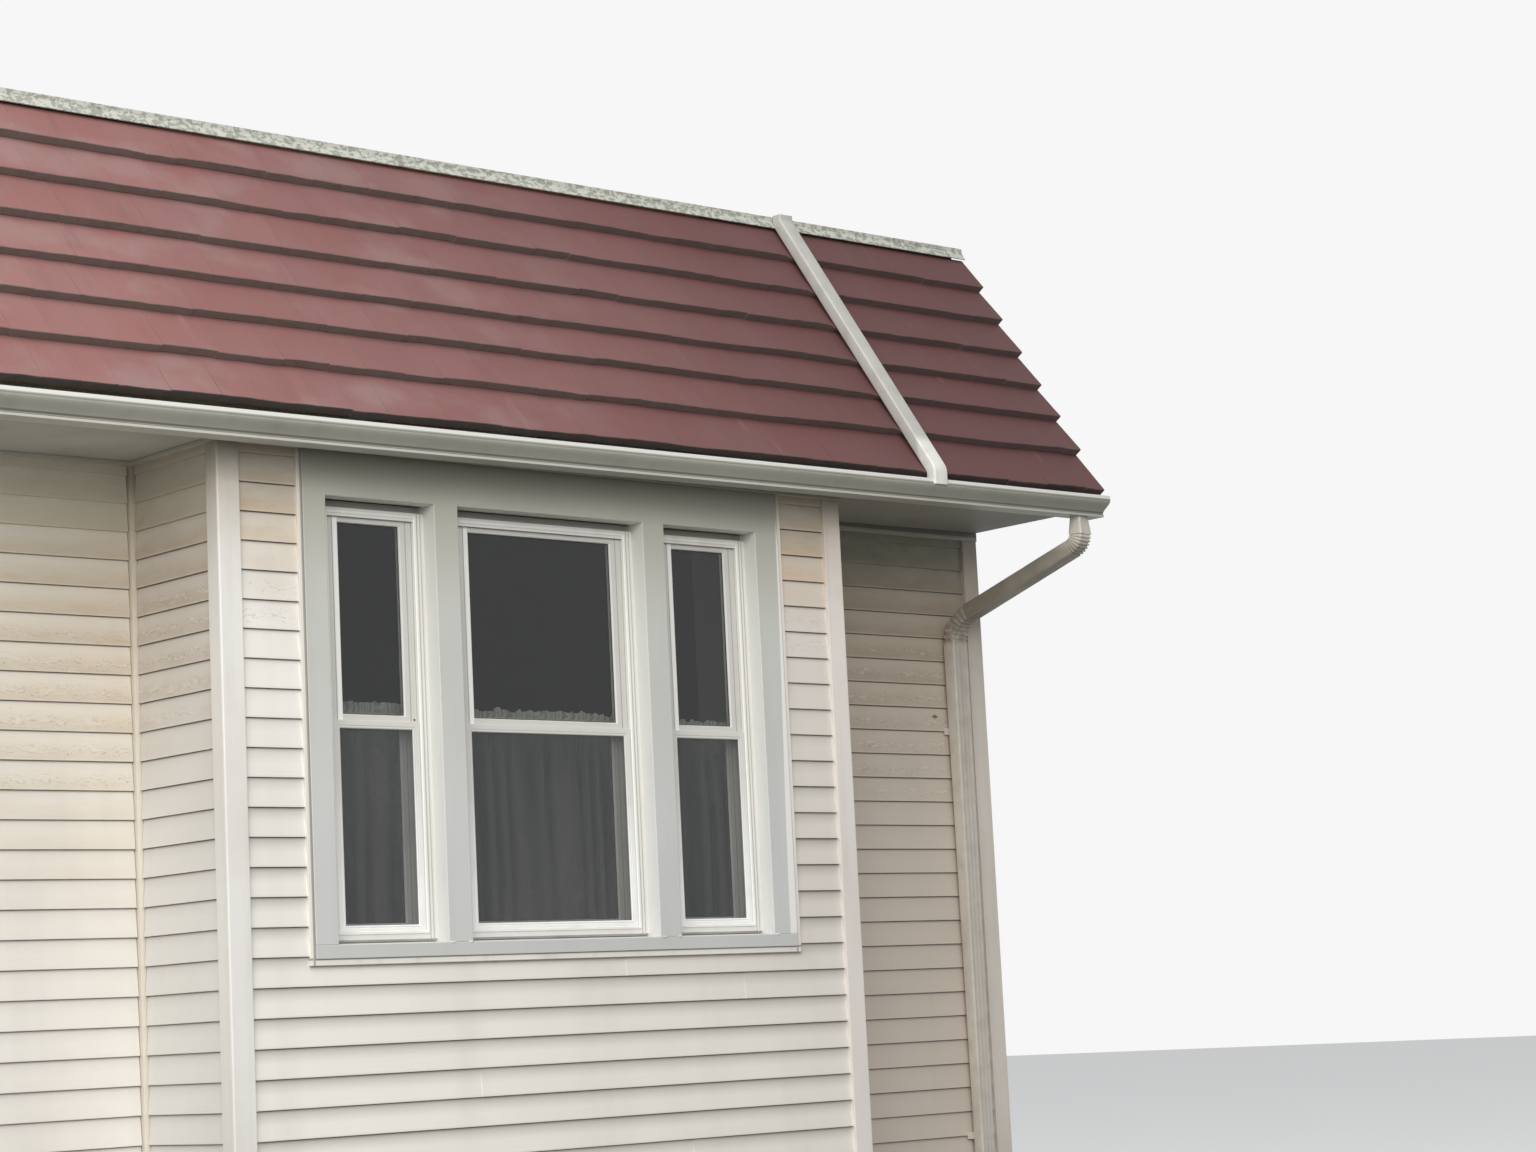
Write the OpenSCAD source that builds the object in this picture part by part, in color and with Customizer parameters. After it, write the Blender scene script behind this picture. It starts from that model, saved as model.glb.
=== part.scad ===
// Bay window of a clapboard house: a shallow box bay with three double-hung windows,
// the strip of house wall and roof slope it stands in, its gutter and its downspouts.
// Millimetres, Z up, the bay's face towards -Y, the origin on the ground on the bay's
// centreline in the plane of the house wall's sheathing.

/* [Bay] */
// Width of the bay across its outer corners
bay_w = 2910; // [2760:10:3300]
// How far the bay's face stands in front of the house wall's face
bay_depth = 561; // [480:1:760]
// Thickness of the framed walls
wall_t = 140; // [125:1:150]
// Length of house wall kept to the left of the centreline
house_left = 2385; // [2000:5:3000]
// Length of house wall to the right of the centreline, up to the house corner
house_right = 2815; // [2600:5:3400]

/* [Levels] */
// Top of the foundation above the ground
foundation_h = 460; // [430:5:600]
// Thickness of the bay's foundation walls
foundation_t = 200; // [150:5:250]
// Thickness of the bay's floor with its joists
floor_t = 190; // [150:5:240]
// Thickness of the ceiling above the bay
ceiling_t = 28; // [15:1:60]
// Underside of the soffit above the ground
eave_z = 3218; // [3190:1:3400]
// How far the eave and the roof lean up towards the house corner, in degrees
eave_tilt = 0.3; // [0:0.05:0.5]

/* [Siding] */
// Exposed height of one clapboard course
course_h = 101.6; // [80:0.1:150]
// Underside of the lowest course above the ground
siding_z = 418.4; // [380:0.1:430]
// How far a course's lower edge stands off the sheathing
butt_t = 13; // [8:0.5:15]
// How far a course's upper edge stands off the sheathing
lap_t = 4; // [2:0.5:6]
// Height of the rolled lower edge of a course
roll_h = 2.5; // [1:0.5:5]
// How far that rolled edge draws back at its underside
roll_d = 2; // [0.5:0.5:3]

/* [Corners and trim] */
// Width of an outside corner post on its face towards the front
post_w = 90; // [70:1:110]
// Width of an outside corner post on its face towards the side
post_side_w = 72; // [60:1:110]
// How far posts and casings stand off the sheathing
trim_proud = 25; // [20:1:28]
// Chamfer on the arris of a corner post
post_chamfer = 4; // [1:0.5:8]
// How far an inside corner runs along each wall
inside_leg = 38; // [30:1:70]
// How far an inside corner stands off the sheathing
inside_proud = 16; // [15:0.5:22]
// Height of the channel along the top of the walls
channel_h = 24; // [16:1:60]
// How far that channel stands off the sheathing
channel_proud = 28; // [26:0.5:34]

/* [Window group] */
// Clear width of each side opening
side_open_w = 466; // [420:1:560]
// Clear width of the middle opening
middle_open_w = 866; // [700:1:900]
// Width of the two covered mullions
mullion_w = 105; // [80:1:120]
// Width of the casing at the left end of the group
casing_left_w = 95; // [70:1:110]
// Width of the casing at the right end of the group
casing_right_w = 119; // [70:1:125]
// How far the openings' middle lies to the left of the bay's centreline
group_shift = 10; // [0:1:20]
// Underside of the head casing above the ground
head_z = 3034; // [2900:1:3060]
// Top of the sill's nose above the ground
sill_z = 1472; // [1300:1:1600]
// Height of the sill's nose
sill_nose_h = 47; // [30:1:60]
// How far the sill's seat lies above its nose
sill_rise = 4; // [3:1:12]
// Depth from the casing's face to the window frame
reveal_d = 65; // [50:1:72]
// Thickness of the metal lining of the reveals
liner_t = 6; // [3:0.5:8]
// Width of the channel that receives the siding beside the group
j_face = 20; // [15:1:30]
// Height of that channel under the sill
j_sill_h = 24; // [15:1:35]
// How far that channel stands off the sheathing
j_proud = 20; // [16:1:24]

/* [Window units] */
// Depth of a window frame
frame_d = 81; // [75:1:84]
// Width of a frame's jamb as seen from outside
jamb_w = 48; // [40:1:60]
// Width of the recessed edge strip of a jamb
edge_w = 11; // [6:1:16]
// Depth of that edge strip behind the jamb's face
edge_d = 5; // [2:1:10]
// Height of the recessed filler over the frame's head
filler_h = 26; // [10:1:40]
// Depth of that filler behind the jamb's face
filler_d = 25; // [10:1:40]
// Height of the frame's head below the filler
frame_head_h = 31; // [20:1:50]
// Height of the frame's sill above the seat
frame_sill_h = 33; // [26:1:50]
// Height of the drip groove under the frame's sill
drip_h = 12; // [6:1:18]
// Depth of the drip groove
drip_d = 16; // [8:1:30]
// How far the upper sash lies behind the frame's face
sash_set = 13; // [12:0.5:16]
// Thickness of a sash
sash_t = 31; // [26:1:31]
// Gap between the two sashes
sash_gap = 2; // [1:0.5:4]
// Gap between a sash and its frame
sash_clear = 1; // [0.5:0.5:3]
// Width of the sash stiles
stile_w = 50; // [35:1:65]
// Height of the upper sash's top rail
top_rail_h = 17; // [12:1:40]
// Height of the two rails that meet in the middle
meeting_h = 35; // [25:1:50]
// Top of the meeting rails above the ground
meeting_z = 2275; // [2150:1:2400]
// Height of the lower sash's bottom rail
bottom_rail_h = 36; // [34:1:90]
// Thickness of a glass pane
glass_t = 4; // [3:0.5:6]
// How far a pane lies behind its sash's face
glass_set = 10; // [6:1:16]
// How far a pane is let into its sash
glass_bite = 8; // [4:1:12]
// Width of a screen's frame
screen_frame_w = 29; // [18:1:36]
// Height of a screen frame's top bar
screen_top_h = 22; // [14:1:30]
// Thickness of a screen's frame
screen_t = 9; // [6:1:10]
// How far a screen lies behind the frame's face
screen_set = 2; // [1:0.5:3]
// How far a screen rises over the meeting rails' underside
screen_lap = 15; // [8:1:24]
// Thickness of the screen cloth
screen_cloth_t = 1; // [0.5:0.5:2]

/* [Inside] */
// Width of the casings inside the room
inner_casing_w = 70; // [50:1:95]
// Thickness of those casings
inner_casing_t = 18; // [12:1:25]
// How far the stool stands out from the inner wall face
stool_d = 45; // [30:1:70]
// Thickness of the stool
stool_t = 24; // [18:1:32]
// How far the stool runs past the casings
stool_horn = 20; // [10:1:40]
// Height of the apron board below the stool
inner_apron_h = 70; // [40:1:100]
// Diameter of the curtain rods
rod_d = 14; // [10:1:20]
// Height of the curtain rods above the ground
rod_z = 2285; // [2200:1:2400]
// Distance from the inner casing's face to the rods' axis
rod_off = 17; // [14:1:25]
// How far a rod runs past its opening on each side
rod_over = 28; // [24:1:40]
// Thickness of a gathered curtain
curtain_t = 24; // [10:1:26]
// How far a curtain runs past its opening on each side
curtain_over = 20; // [10:1:23]
// Gap between a curtain's hem and the stool
hem_gap = 24; // [5:1:60]

/* [Roof] */
// Slope of the roof in degrees
roof_pitch = 58; // [52:1:62]
// How far the soffit runs in front of the bay's sheathing
eave_reach = 73; // [50:1:120]
// Thickness of the soffit boards
soffit_t = 12; // [8:1:20]
// Thickness of the fascia and of the boards that close the eave's ends
fascia_t = 25; // [18:1:35]
// How far the fascia hangs below the soffit's underside
fascia_drop = 18; // [10:1:30]
// Height of the fascia
fascia_h = 150; // [130:1:190]
// Thickness of the roof deck
deck_t = 18; // [12:1:25]
// How far the deck runs down past the fascia's corner, along the slope
deck_over = 60; // [30:1:70]
// Exposed length of one shingle course, along the slope
shingle_exposure = 197; // [150:1:230]
// Height of a shingle's butt above the deck
shingle_butt = 30; // [15:1:35]
// Height of a course above the deck where the next one covers it
shingle_lap = 4; // [3:1:14]
// How far the shingles run down past the fascia's corner, along the slope
shingle_over = 77; // [72:1:82]
// How far the shingles run past the house corner
rake_over = 45; // [20:1:60]
// Thickness of the flashing at the roof's top
flashing_t = 4; // [2:0.5:6]
// Length of the flashing's apron on the shingles
flashing_apron = 38; // [25:1:120]
// Height of the wall above the roof's deck line at the back
upper_wall_h = 68; // [60:1:140]

/* [Gutter] */
// Width of the gutter at its rim
gutter_w = 127; // [110:1:140]
// Width of the gutter's floor
gutter_floor_w = 84; // [76:1:96]
// Height of the gutter
gutter_h = 85; // [75:1:100]
// Thickness of the gutter's sheet
gutter_t = 2.5; // [1.5:0.5:4]
// How far the rim lies below the fascia's top
gutter_drop = 81; // [76:1:100]
// Height of the bead along the gutter's lower front edge
bead_h = 12; // [6:1:20]
// How far that bead stands out from the face above it
bead_d = 5; // [2:0.5:8]
// Height over which the bead turns back to that face
bead_turn_h = 3; // [1:0.5:5]
// Height of the upright band below the rim
rim_band_h = 20; // [12:1:30]
// Width of the hem folded in at the rim
hem_w = 11; // [6:1:16]

/* [Downspouts] */
// Width of a downspout
spout_w = 76; // [60:1:90]
// Depth of a downspout
spout_d = 51; // [45:1:60]
// Centreline of the outlet to the right of the bay's centreline
outlet_x = 2748; // [2600:1:2770]
// Length of the straight outlet under the gutter
outlet_h = 114; // [60:1:160]
// Centreline of the upright pipe to the right of the bay's centreline
pipe_x = 2614; // [2450:1:2660]
// Gap between the pipe and the house wall's sheathing
pipe_gap = 30; // [18:1:50]
// Height at which the slanted stretch meets the upright pipe
pipe_top_z = 2810; // [2700:1:2950]
// Underside of the pipe's foot above the ground
pipe_foot_z = 60; // [40:1:200]
// Radius of the elbows' centreline
elbow_r = 62; // [50:1:80]
// How far an elbow stands out round the pipes that slide into it
elbow_step = 1; // [0.5:0.5:2]
// Height of the ribs pressed into the elbows
rib_h = 2; // [1:0.5:3]
// Number of ribs on an elbow
elbow_ribs = 6; // [3:1:9]
// Angle that one rib takes up round the elbow's centre, in degrees
rib_angle = 3; // [2:0.5:4]
// Width of a strap that holds the pipe to the wall
strap_h = 30; // [20:1:45]
// Thickness of a strap
strap_t = 2.5; // [1.5:0.5:4]
// Siding courses whose lower edges carry a strap, counted from the lowest
strap_courses = [2, 19]; // [0:1:22]
// Width of the two ears that fasten a strap to the wall
strap_ear = 20; // [10:1:35]
// Centreline of the roof pipe at the wall, right of the bay's centreline
roof_pipe_top_x = 1745; // [1500:1:2000]
// Centreline of the roof pipe at the eave, right of the bay's centreline
roof_pipe_foot_x = 1838; // [1500:1:2000]
// How far that pipe runs past the lowest butts before it turns down, along the slope
roof_pipe_over = 9; // [6:1:12]
// Length of the spout that turns down over the gutter
roof_spout_h = 26; // [10:1:28]

/* [Hidden] */
eps = 1;
$fn = 48;
// Steps of the gutter's ogee
ogee_steps = 8;
// Extra height that is cut off again where a piece ends at the leaning eave
tilt_room = 60;

// Plan of the bay: the sheathing's faces and the posts' faces
wall_x = bay_w / 2 - trim_proud;
front_y = -bay_depth;
casing_y = front_y - trim_proud;
inner_x = wall_x - wall_t;
inner_y = front_y + wall_t;
corner_x = house_right - trim_proud;

// Heights that follow from the levels
floor_z = foundation_h + floor_t;
ceiling_z = eave_z - ceiling_t;
channel_z = eave_z - channel_h;

// Left edges and widths of the three openings
open_ws = [side_open_w, middle_open_w, side_open_w];
open_x0 = -middle_open_w / 2 - mullion_w - side_open_w - group_shift;
open_x1 = middle_open_w / 2 + mullion_w + side_open_w - group_shift;
open_xs = [open_x0, open_x0 + side_open_w + mullion_w, open_x1 - side_open_w];
group_x0 = open_x0 - casing_left_w;
group_x1 = open_x1 + casing_right_w;
rough_x0 = open_x0 - liner_t;
rough_x1 = open_x1 + liner_t;
rough_z = head_z + liner_t;

// Places inside a window unit
seat_z = sill_z + sill_rise;
sill_foot_z = sill_z - sill_nose_h;
frame_y = casing_y + reveal_d;
sash_y = frame_y + sash_set;
lower_sash_y = sash_y + sash_t + sash_gap;
unit_sill_z = seat_z + frame_sill_h;
unit_head_z = head_z - filler_h - frame_head_h;
upper_glass_z1 = unit_head_z - top_rail_h;
lower_glass_z0 = unit_sill_z + bottom_rail_h;
rail_foot_z = meeting_z - meeting_h;
screen_top_z = rail_foot_z + screen_lap;

// Inside face of the room's casings and the rods' axis
inner_casing_y = inner_y + inner_casing_t;
rod_y = inner_casing_y + rod_off;

// Roof: the fascia's upper front corner is where the slope starts
fascia_y1 = front_y - eave_reach;
fascia_y0 = fascia_y1 - fascia_t;
fascia_z0 = eave_z - fascia_drop;
fascia_z1 = fascia_z0 + fascia_h;
soffit_z1 = eave_z + soffit_t;
rake_x = house_right + rake_over;
butt_v = deck_t + shingle_butt;
wall_top_z = slope_z_at_wall(butt_v) + upper_wall_h - deck_t - shingle_butt;

// Gutter and downspouts
rim_z = fascia_z1 - gutter_drop;
gutter_z = rim_z - gutter_h;
outlet_y = fascia_y0 - gutter_floor_w / 2;
pipe_y = -pipe_gap - spout_d / 2;

// A point on the roof's cross-section: u runs up the slope from the fascia's corner and v
// stands square to it; the result is in the plane of Y and Z
function slope_point(u, v) = [
    fascia_y0 + u * cos(roof_pitch) - v * sin(roof_pitch),
    fascia_z1 + u * sin(roof_pitch) + v * cos(roof_pitch)
];
// Distance up the slope at which height v meets the plane y
function slope_u_at(v, y) = (y - fascia_y0 + v * sin(roof_pitch)) / cos(roof_pitch);
function slope_z_at_wall(v) = slope_point(slope_u_at(v, 0), v)[1];

// Outline of a bent sheet: a path and its copy at distance t on its left
function unit(v) = v / norm(v);
function left_normal(a, b) = let (d = unit(b - a)) [-d[1], d[0]];
function bisector(path, i) =
    let (
        last = len(path) - 1,
        before = left_normal(path[max(i - 1, 0)], path[max(i, 1)]),
        after = left_normal(path[min(i, last - 1)], path[min(i + 1, last)]),
        middle = unit(before + after)
    )
    middle / (middle * before);
function sheet_outline(path, t) = concat(
    path,
    [for (i = [len(path) - 1 : -1 : 0]) path[i] + t * bisector(path, i)]
);

// Extrudes an outline drawn in Y and Z from x0 to x1
module along_x(x0, x1) {
    translate([x0, 0, 0]) rotate([90, 0, 90]) linear_extrude(x1 - x0) children();
}

// Box between two corners
module block(low, high) {
    translate(low) cube(high - low);
}

// Leans its children about the bay's centreline, at the height of the soffit's underside
module settled() {
    translate([0, 0, eave_z]) rotate([0, -eave_tilt, 0]) translate([0, 0, -eave_z]) children();
}

// Cuts its children off at the leaning plane that lies at height z on the centreline
module below(z) {
    reach = 2 * (house_left + house_right);
    difference() {
        children();
        settled() block([-reach, -reach, z], [reach, reach, z + reach]);
    }
}

// Foundation

module foundation_front() color("#9a958c") block(
    [-wall_x, front_y, 0], [wall_x, front_y + foundation_t, foundation_h]
);

module foundation_returns() color("#9a958c") for (side = [0, 1]) mirror([side, 0, 0]) block(
    [wall_x - foundation_t, front_y + foundation_t, 0], [wall_x, 0, foundation_h]
);

module foundation_main() color("#9a958c") block(
    [-house_left, 0, 0], [corner_x, wall_t, foundation_h]
);

// Floor: it carries the bay's walls and runs through the opening in the house wall
module bay_floor() color("#8c6a45") union() {
    block([-wall_x, front_y, foundation_h], [wall_x, 0, floor_z]);
    block([-inner_x, -eps, foundation_h], [inner_x, wall_t, floor_z]);
}

// Walls of the bay

module front_wall_left() color("#d9d4c8")
    below(eave_z) block([-wall_x, front_y, floor_z], [rough_x0, inner_y, eave_z + tilt_room]);

module front_wall_right() color("#d9d4c8")
    below(eave_z) block([rough_x1, front_y, floor_z], [wall_x, inner_y, eave_z + tilt_room]);

module front_wall_apron() color("#d9d4c8")
    block([rough_x0, front_y, floor_z], [rough_x1, inner_y, sill_foot_z]);

module front_wall_head() color("#d9d4c8")
    below(eave_z) block([rough_x0, front_y, rough_z], [rough_x1, inner_y, eave_z + tilt_room]);

module front_wall_mullions() color("#c9b68f") for (i = [1, 2]) block(
    [open_xs[i] - mullion_w + liner_t, front_y, seat_z],
    [open_xs[i] - liner_t, inner_y, rough_z]
);

module return_wall() {
    block([inner_x, inner_y, floor_z], [wall_x, 0, eave_z + tilt_room]);
}

module left_return_wall() color("#d9d4c8") below(eave_z) mirror([1, 0, 0]) return_wall();

module right_return_wall() color("#d9d4c8") below(eave_z) return_wall();

// House wall, with the opening into the bay

module main_wall_left() color("#d9d4c8")
    block([-house_left, 0, foundation_h], [-inner_x, wall_t, ceiling_z]);

module main_wall_right() color("#d9d4c8")
    block([inner_x, 0, foundation_h], [corner_x, wall_t, ceiling_z]);

module main_wall_head() color("#d9d4c8")
    below(wall_top_z) block([-house_left, 0, ceiling_z], [corner_x, wall_t, wall_top_z + tilt_room]);

module ceiling() color("#e6e2d8")
    below(eave_z) block([-inner_x, inner_y, ceiling_z], [inner_x, 0, eave_z + tilt_room]);

// Siding: courses with a rolled lower edge, each thinner towards its top
module siding_profile() {
    count = ceil((channel_z - siding_z) / course_h);
    polygon(concat(
        [[0, siding_z]],
        [for (k = [0 : count - 1], step = [0 : 2])
            let (
                z0 = siding_z + k * course_h,
                z1 = min(z0 + course_h, channel_z),
                top_t = butt_t + (lap_t - butt_t) * (z1 - z0) / course_h
            )
            [[butt_t - roll_d, z0], [butt_t, min(z0 + roll_h, z1)], [top_t, z1]][step]],
        [[0, channel_z]]
    ));
}

// A run of siding of the given length on a wall that faces -Y
module siding_run(length) {
    along_x(0, length) mirror([1, 0]) siding_profile();
}

module front_siding() color("#e4e2db") difference() {
    translate([-bay_w / 2 + post_w, front_y, 0]) siding_run(bay_w - 2 * post_w);
    block(
        [group_x0 - j_face, casing_y - eps, sill_foot_z - j_sill_h],
        [group_x1 + j_face, front_y + eps, channel_z + eps]
    );
}

module return_siding() color("#dedbd2") {
    length = bay_depth + trim_proud - post_side_w - inside_leg;
    translate([-wall_x, -inside_leg, 0]) rotate([0, 0, -90]) siding_run(length);
    translate([wall_x, -inside_leg - length, 0]) rotate([0, 0, 90]) siding_run(length);
}

module main_siding() color("#d8d3c6") {
    translate([-house_left, 0, 0]) siding_run(house_left - wall_x - inside_leg);
    translate([wall_x + inside_leg, 0, 0]) siding_run(house_right - post_w - wall_x - inside_leg);
}

// Corner posts: an angle of wide flat faces with a small chamfer at the arris
module corner_post_at_origin() {
    linear_extrude(channel_z - siding_z) polygon([
        [0, post_chamfer], [post_chamfer, 0], [post_w, 0], [post_w, trim_proud],
        [trim_proud, trim_proud], [trim_proud, post_side_w], [0, post_side_w]
    ]);
}

module bay_corner_posts() color("#eceae4") for (side = [0, 1]) mirror([side, 0, 0])
    translate([-bay_w / 2, casing_y, siding_z]) corner_post_at_origin();

module house_corner_post() color("#eceae4")
    translate([house_right, -trim_proud, siding_z]) mirror([1, 0, 0]) corner_post_at_origin();

module inside_corners() color("#eceae4") for (side = [0, 1]) mirror([side, 0, 0])
    translate([wall_x, 0, siding_z]) linear_extrude(channel_z - siding_z) polygon([
        [0, 0], [inside_leg, 0], [inside_leg, -inside_proud], [inside_proud, -inside_proud],
        [inside_proud, -inside_leg], [0, -inside_leg]
    ]);

// Channel along the top of every wall, which holds the soffit's edge
module wall_top_channel() color("#dcdad2") below(eave_z) translate([0, 0, channel_z])
    linear_extrude(channel_h + tilt_room) polygon([
        [-house_left, 0], [-wall_x, 0], [-wall_x, front_y], [wall_x, front_y], [wall_x, 0], [house_right, 0],
        [house_right, -channel_proud], [wall_x + channel_proud, -channel_proud],
        [wall_x + channel_proud, front_y - channel_proud], [-wall_x - channel_proud, front_y - channel_proud],
        [-wall_x - channel_proud, -channel_proud], [-house_left, -channel_proud]
    ]);

// Outside trim of the window group

module window_head_casing() color("#cfcfcb") union() {
    block([group_x0, casing_y, head_z], [group_x1, front_y, channel_z]);
    for (i = [0 : 2]) block(
        [open_xs[i] - liner_t, front_y - eps, head_z],
        [open_xs[i] + open_ws[i] + liner_t, frame_y, rough_z]
    );
}

// The lining on one side of a reveal, on the side of x given by dir
module reveal_liner(x, dir) {
    block([min(x, x + dir * liner_t), front_y - eps, seat_z], [max(x, x + dir * liner_t), frame_y, head_z]);
}

module window_casings() color("#cfcfcb") {
    union() {
        block([group_x0, casing_y, sill_z], [open_x0, front_y, head_z]);
        reveal_liner(open_x0, -1);
    }
    union() {
        block([open_x1, casing_y, sill_z], [group_x1, front_y, head_z]);
        reveal_liner(open_x1, 1);
    }
    for (i = [1, 2]) union() {
        block([open_xs[i] - mullion_w, casing_y, sill_z], [open_xs[i], front_y, head_z]);
        reveal_liner(open_xs[i], -1);
        reveal_liner(open_xs[i] - mullion_w, 1);
    }
}

module window_sill() color("#d2d1cb") union() {
    block([group_x0, casing_y, sill_foot_z], [group_x1, front_y, sill_z]);
    block([rough_x0, front_y - eps, sill_foot_z], [rough_x1, front_y, sill_z]);
    block([rough_x0, front_y, sill_foot_z], [rough_x1, inner_y, seat_z]);
}

module j_channel() color("#efece0") difference() {
    block(
        [group_x0 - j_face, front_y - j_proud, sill_foot_z - j_sill_h],
        [group_x1 + j_face, front_y, channel_z]
    );
    block([group_x0, front_y - j_proud - eps, sill_foot_z], [group_x1, front_y + eps, channel_z + eps]);
}

// Window frame for one opening of width w, its left side at x = 0
module window_frame(w) {
    back_y = frame_y + frame_d;
    difference() {
        block([-liner_t, frame_y, seat_z], [w + liner_t, back_y, rough_z]);
        block([jamb_w, frame_y - eps, unit_sill_z], [w - jamb_w, back_y + eps, unit_head_z]);
        for (x = [-liner_t, w - edge_w])
            block([x - eps, frame_y - eps, seat_z - eps],
                  [x + edge_w + liner_t + eps, frame_y + edge_d, rough_z + eps]);
        block([-liner_t - eps, frame_y - eps, head_z - filler_h],
              [w + liner_t + eps, frame_y + filler_d, head_z]);
        block([-liner_t - eps, frame_y - eps, seat_z - eps],
              [w + liner_t + eps, frame_y + drip_d, seat_z + drip_h]);
    }
}

module left_window_frame() color("#f2f2ef") translate([open_xs[0], 0, 0]) window_frame(open_ws[0]);

module middle_window_frame() color("#f2f2ef") translate([open_xs[1], 0, 0]) window_frame(open_ws[1]);

module right_window_frame() color("#f2f2ef") translate([open_xs[2], 0, 0]) window_frame(open_ws[2]);

// The pane of a sash whose glass shows between z0 and z1
module pane(w, y, z0, z1) {
    inset = jamb_w + stile_w - glass_bite;
    block([inset, y + glass_set, z0 - glass_bite], [w - inset, y + glass_set + glass_t, z1 + glass_bite]);
}

// A sash of outer height z0 to z1 whose glass shows between glass_z0 and glass_z1
module sash(w, y, z0, z1, glass_z0, glass_z1) {
    edge = jamb_w + sash_clear;
    sight = jamb_w + stile_w;
    difference() {
        block([edge, y, z0], [w - edge, y + sash_t, z1]);
        block([sight, y - eps, glass_z0], [w - sight, y + sash_t + eps, glass_z1]);
        pane(w, y, glass_z0, glass_z1);
    }
}

module upper_sashes() color("#ededea") for (i = [0 : 2]) translate([open_xs[i], 0, 0])
    sash(open_ws[i], sash_y, rail_foot_z, unit_head_z - sash_clear, meeting_z, upper_glass_z1);

module lower_sashes() color("#e2e2de") for (i = [0 : 2]) translate([open_xs[i], 0, 0])
    sash(open_ws[i], lower_sash_y, unit_sill_z + sash_clear, meeting_z, lower_glass_z0, rail_foot_z);

module glass_panes() color("#26302f") for (i = [0 : 2]) translate([open_xs[i], 0, 0]) {
    pane(open_ws[i], sash_y, meeting_z, upper_glass_z1);
    pane(open_ws[i], lower_sash_y, lower_glass_z0, rail_foot_z);
}

// Insect screens: a flat frame with its cloth in the middle of its thickness
module screen(w) {
    edge = jamb_w + sash_clear;
    sight = edge + screen_frame_w;
    y = frame_y + screen_set;
    cloth_y = y + (screen_t - screen_cloth_t) / 2;
    z0 = unit_sill_z + sash_clear;
    difference() {
        block([edge, y, z0], [w - edge, y + screen_t, screen_top_z]);
        block([sight, y - eps, z0 + screen_frame_w], [w - sight, cloth_y, screen_top_z - screen_top_h]);
        block([sight, cloth_y + screen_cloth_t, z0 + screen_frame_w],
              [w - sight, y + screen_t + eps, screen_top_z - screen_top_h]);
    }
}

module insect_screens() color("#5d625f") for (i = [0 : 2]) translate([open_xs[i], 0, 0]) screen(open_ws[i]);

// Inside the room: casings, stool and apron board
module interior_trim() color("#e9e5da") {
    left = open_x0 - inner_casing_w;
    right = open_x1 + inner_casing_w;
    union() {
        difference() {
            block([left, inner_y, seat_z - eps], [right, inner_casing_y, head_z + inner_casing_w]);
            for (i = [0 : 2]) block(
                [open_xs[i], inner_y - eps, seat_z],
                [open_xs[i] + open_ws[i], inner_casing_y + eps, head_z]
            );
        }
        block([left - stool_horn, inner_y, seat_z - stool_t], [right + stool_horn, inner_y + stool_d, seat_z]);
        block([left, inner_y, seat_z - stool_t - inner_apron_h], [right, inner_casing_y, seat_z - stool_t + eps]);
    }
}

module curtain_rods() color("#c9c4b4") for (i = [0 : 2]) translate([open_xs[i] - rod_over, 0, 0]) {
    length = open_ws[i] + 2 * rod_over;
    union() {
        translate([0, rod_y, rod_z]) rotate([0, 90, 0]) cylinder(d = rod_d, h = length);
        for (x = [0, length - rod_d])
            block([x, inner_casing_y, rod_z - rod_d / 2], [x + rod_d / 2, rod_y, rod_z + rod_d / 2]);
    }
}

module curtains() color("#b9c0b4") for (i = [0 : 2]) block(
    [open_xs[i] - curtain_over, rod_y - curtain_t / 2, seat_z + hem_gap],
    [open_xs[i] + open_ws[i] + curtain_over, rod_y + curtain_t / 2, rod_z - rod_d / 2]
);

// Eave

module soffit() color("#cbc3b4") settled()
    block([-house_left, fascia_y1, eave_z], [house_right, 0, soffit_z1]);

module fascia() color("#d5d1c6") settled()
    block([-house_left, fascia_y0, fascia_z0], [house_right, fascia_y1, fascia_z1]);

// The boards that close the hollow between soffit and roof at both ends
module eave_ends() color("#d5d1c6") settled() for (x = [-house_left, house_right - fascia_t])
    along_x(x, x + fascia_t) polygon([
        [fascia_y1, soffit_z1], [0, soffit_z1], slope_point(slope_u_at(0, 0), 0),
        slope_point(slope_u_at(0, fascia_y1), 0)
    ]);

module roof_deck() color("#9b8460") settled() along_x(-house_left, rake_x) polygon([
    slope_point(-deck_over, 0), slope_point(slope_u_at(0, 0), 0),
    slope_point(slope_u_at(deck_t, 0), deck_t), slope_point(-deck_over, deck_t)
]);

// Shingle courses, each a long wedge that is thickest at its butt
module shingles() color("#8a4a44") {
    reach = slope_u_at(deck_t + shingle_lap, 0);
    count = ceil((reach + shingle_over) / shingle_exposure);
    settled() along_x(-house_left, rake_x) polygon(concat(
        [slope_point(-shingle_over, deck_t)],
        [for (i = [0 : count - 1], end = [0, 1])
            let (
                u0 = i * shingle_exposure - shingle_over,
                u1 = min(u0 + shingle_exposure, reach),
                v1 = butt_v + (shingle_lap - shingle_butt) * (u1 - u0) / shingle_exposure
            )
            end == 0 ? slope_point(u0, butt_v) : slope_point(min(u1, slope_u_at(v1, 0)), v1)],
        [slope_point(slope_u_at(deck_t, 0), deck_t)]
    ));
}

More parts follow.
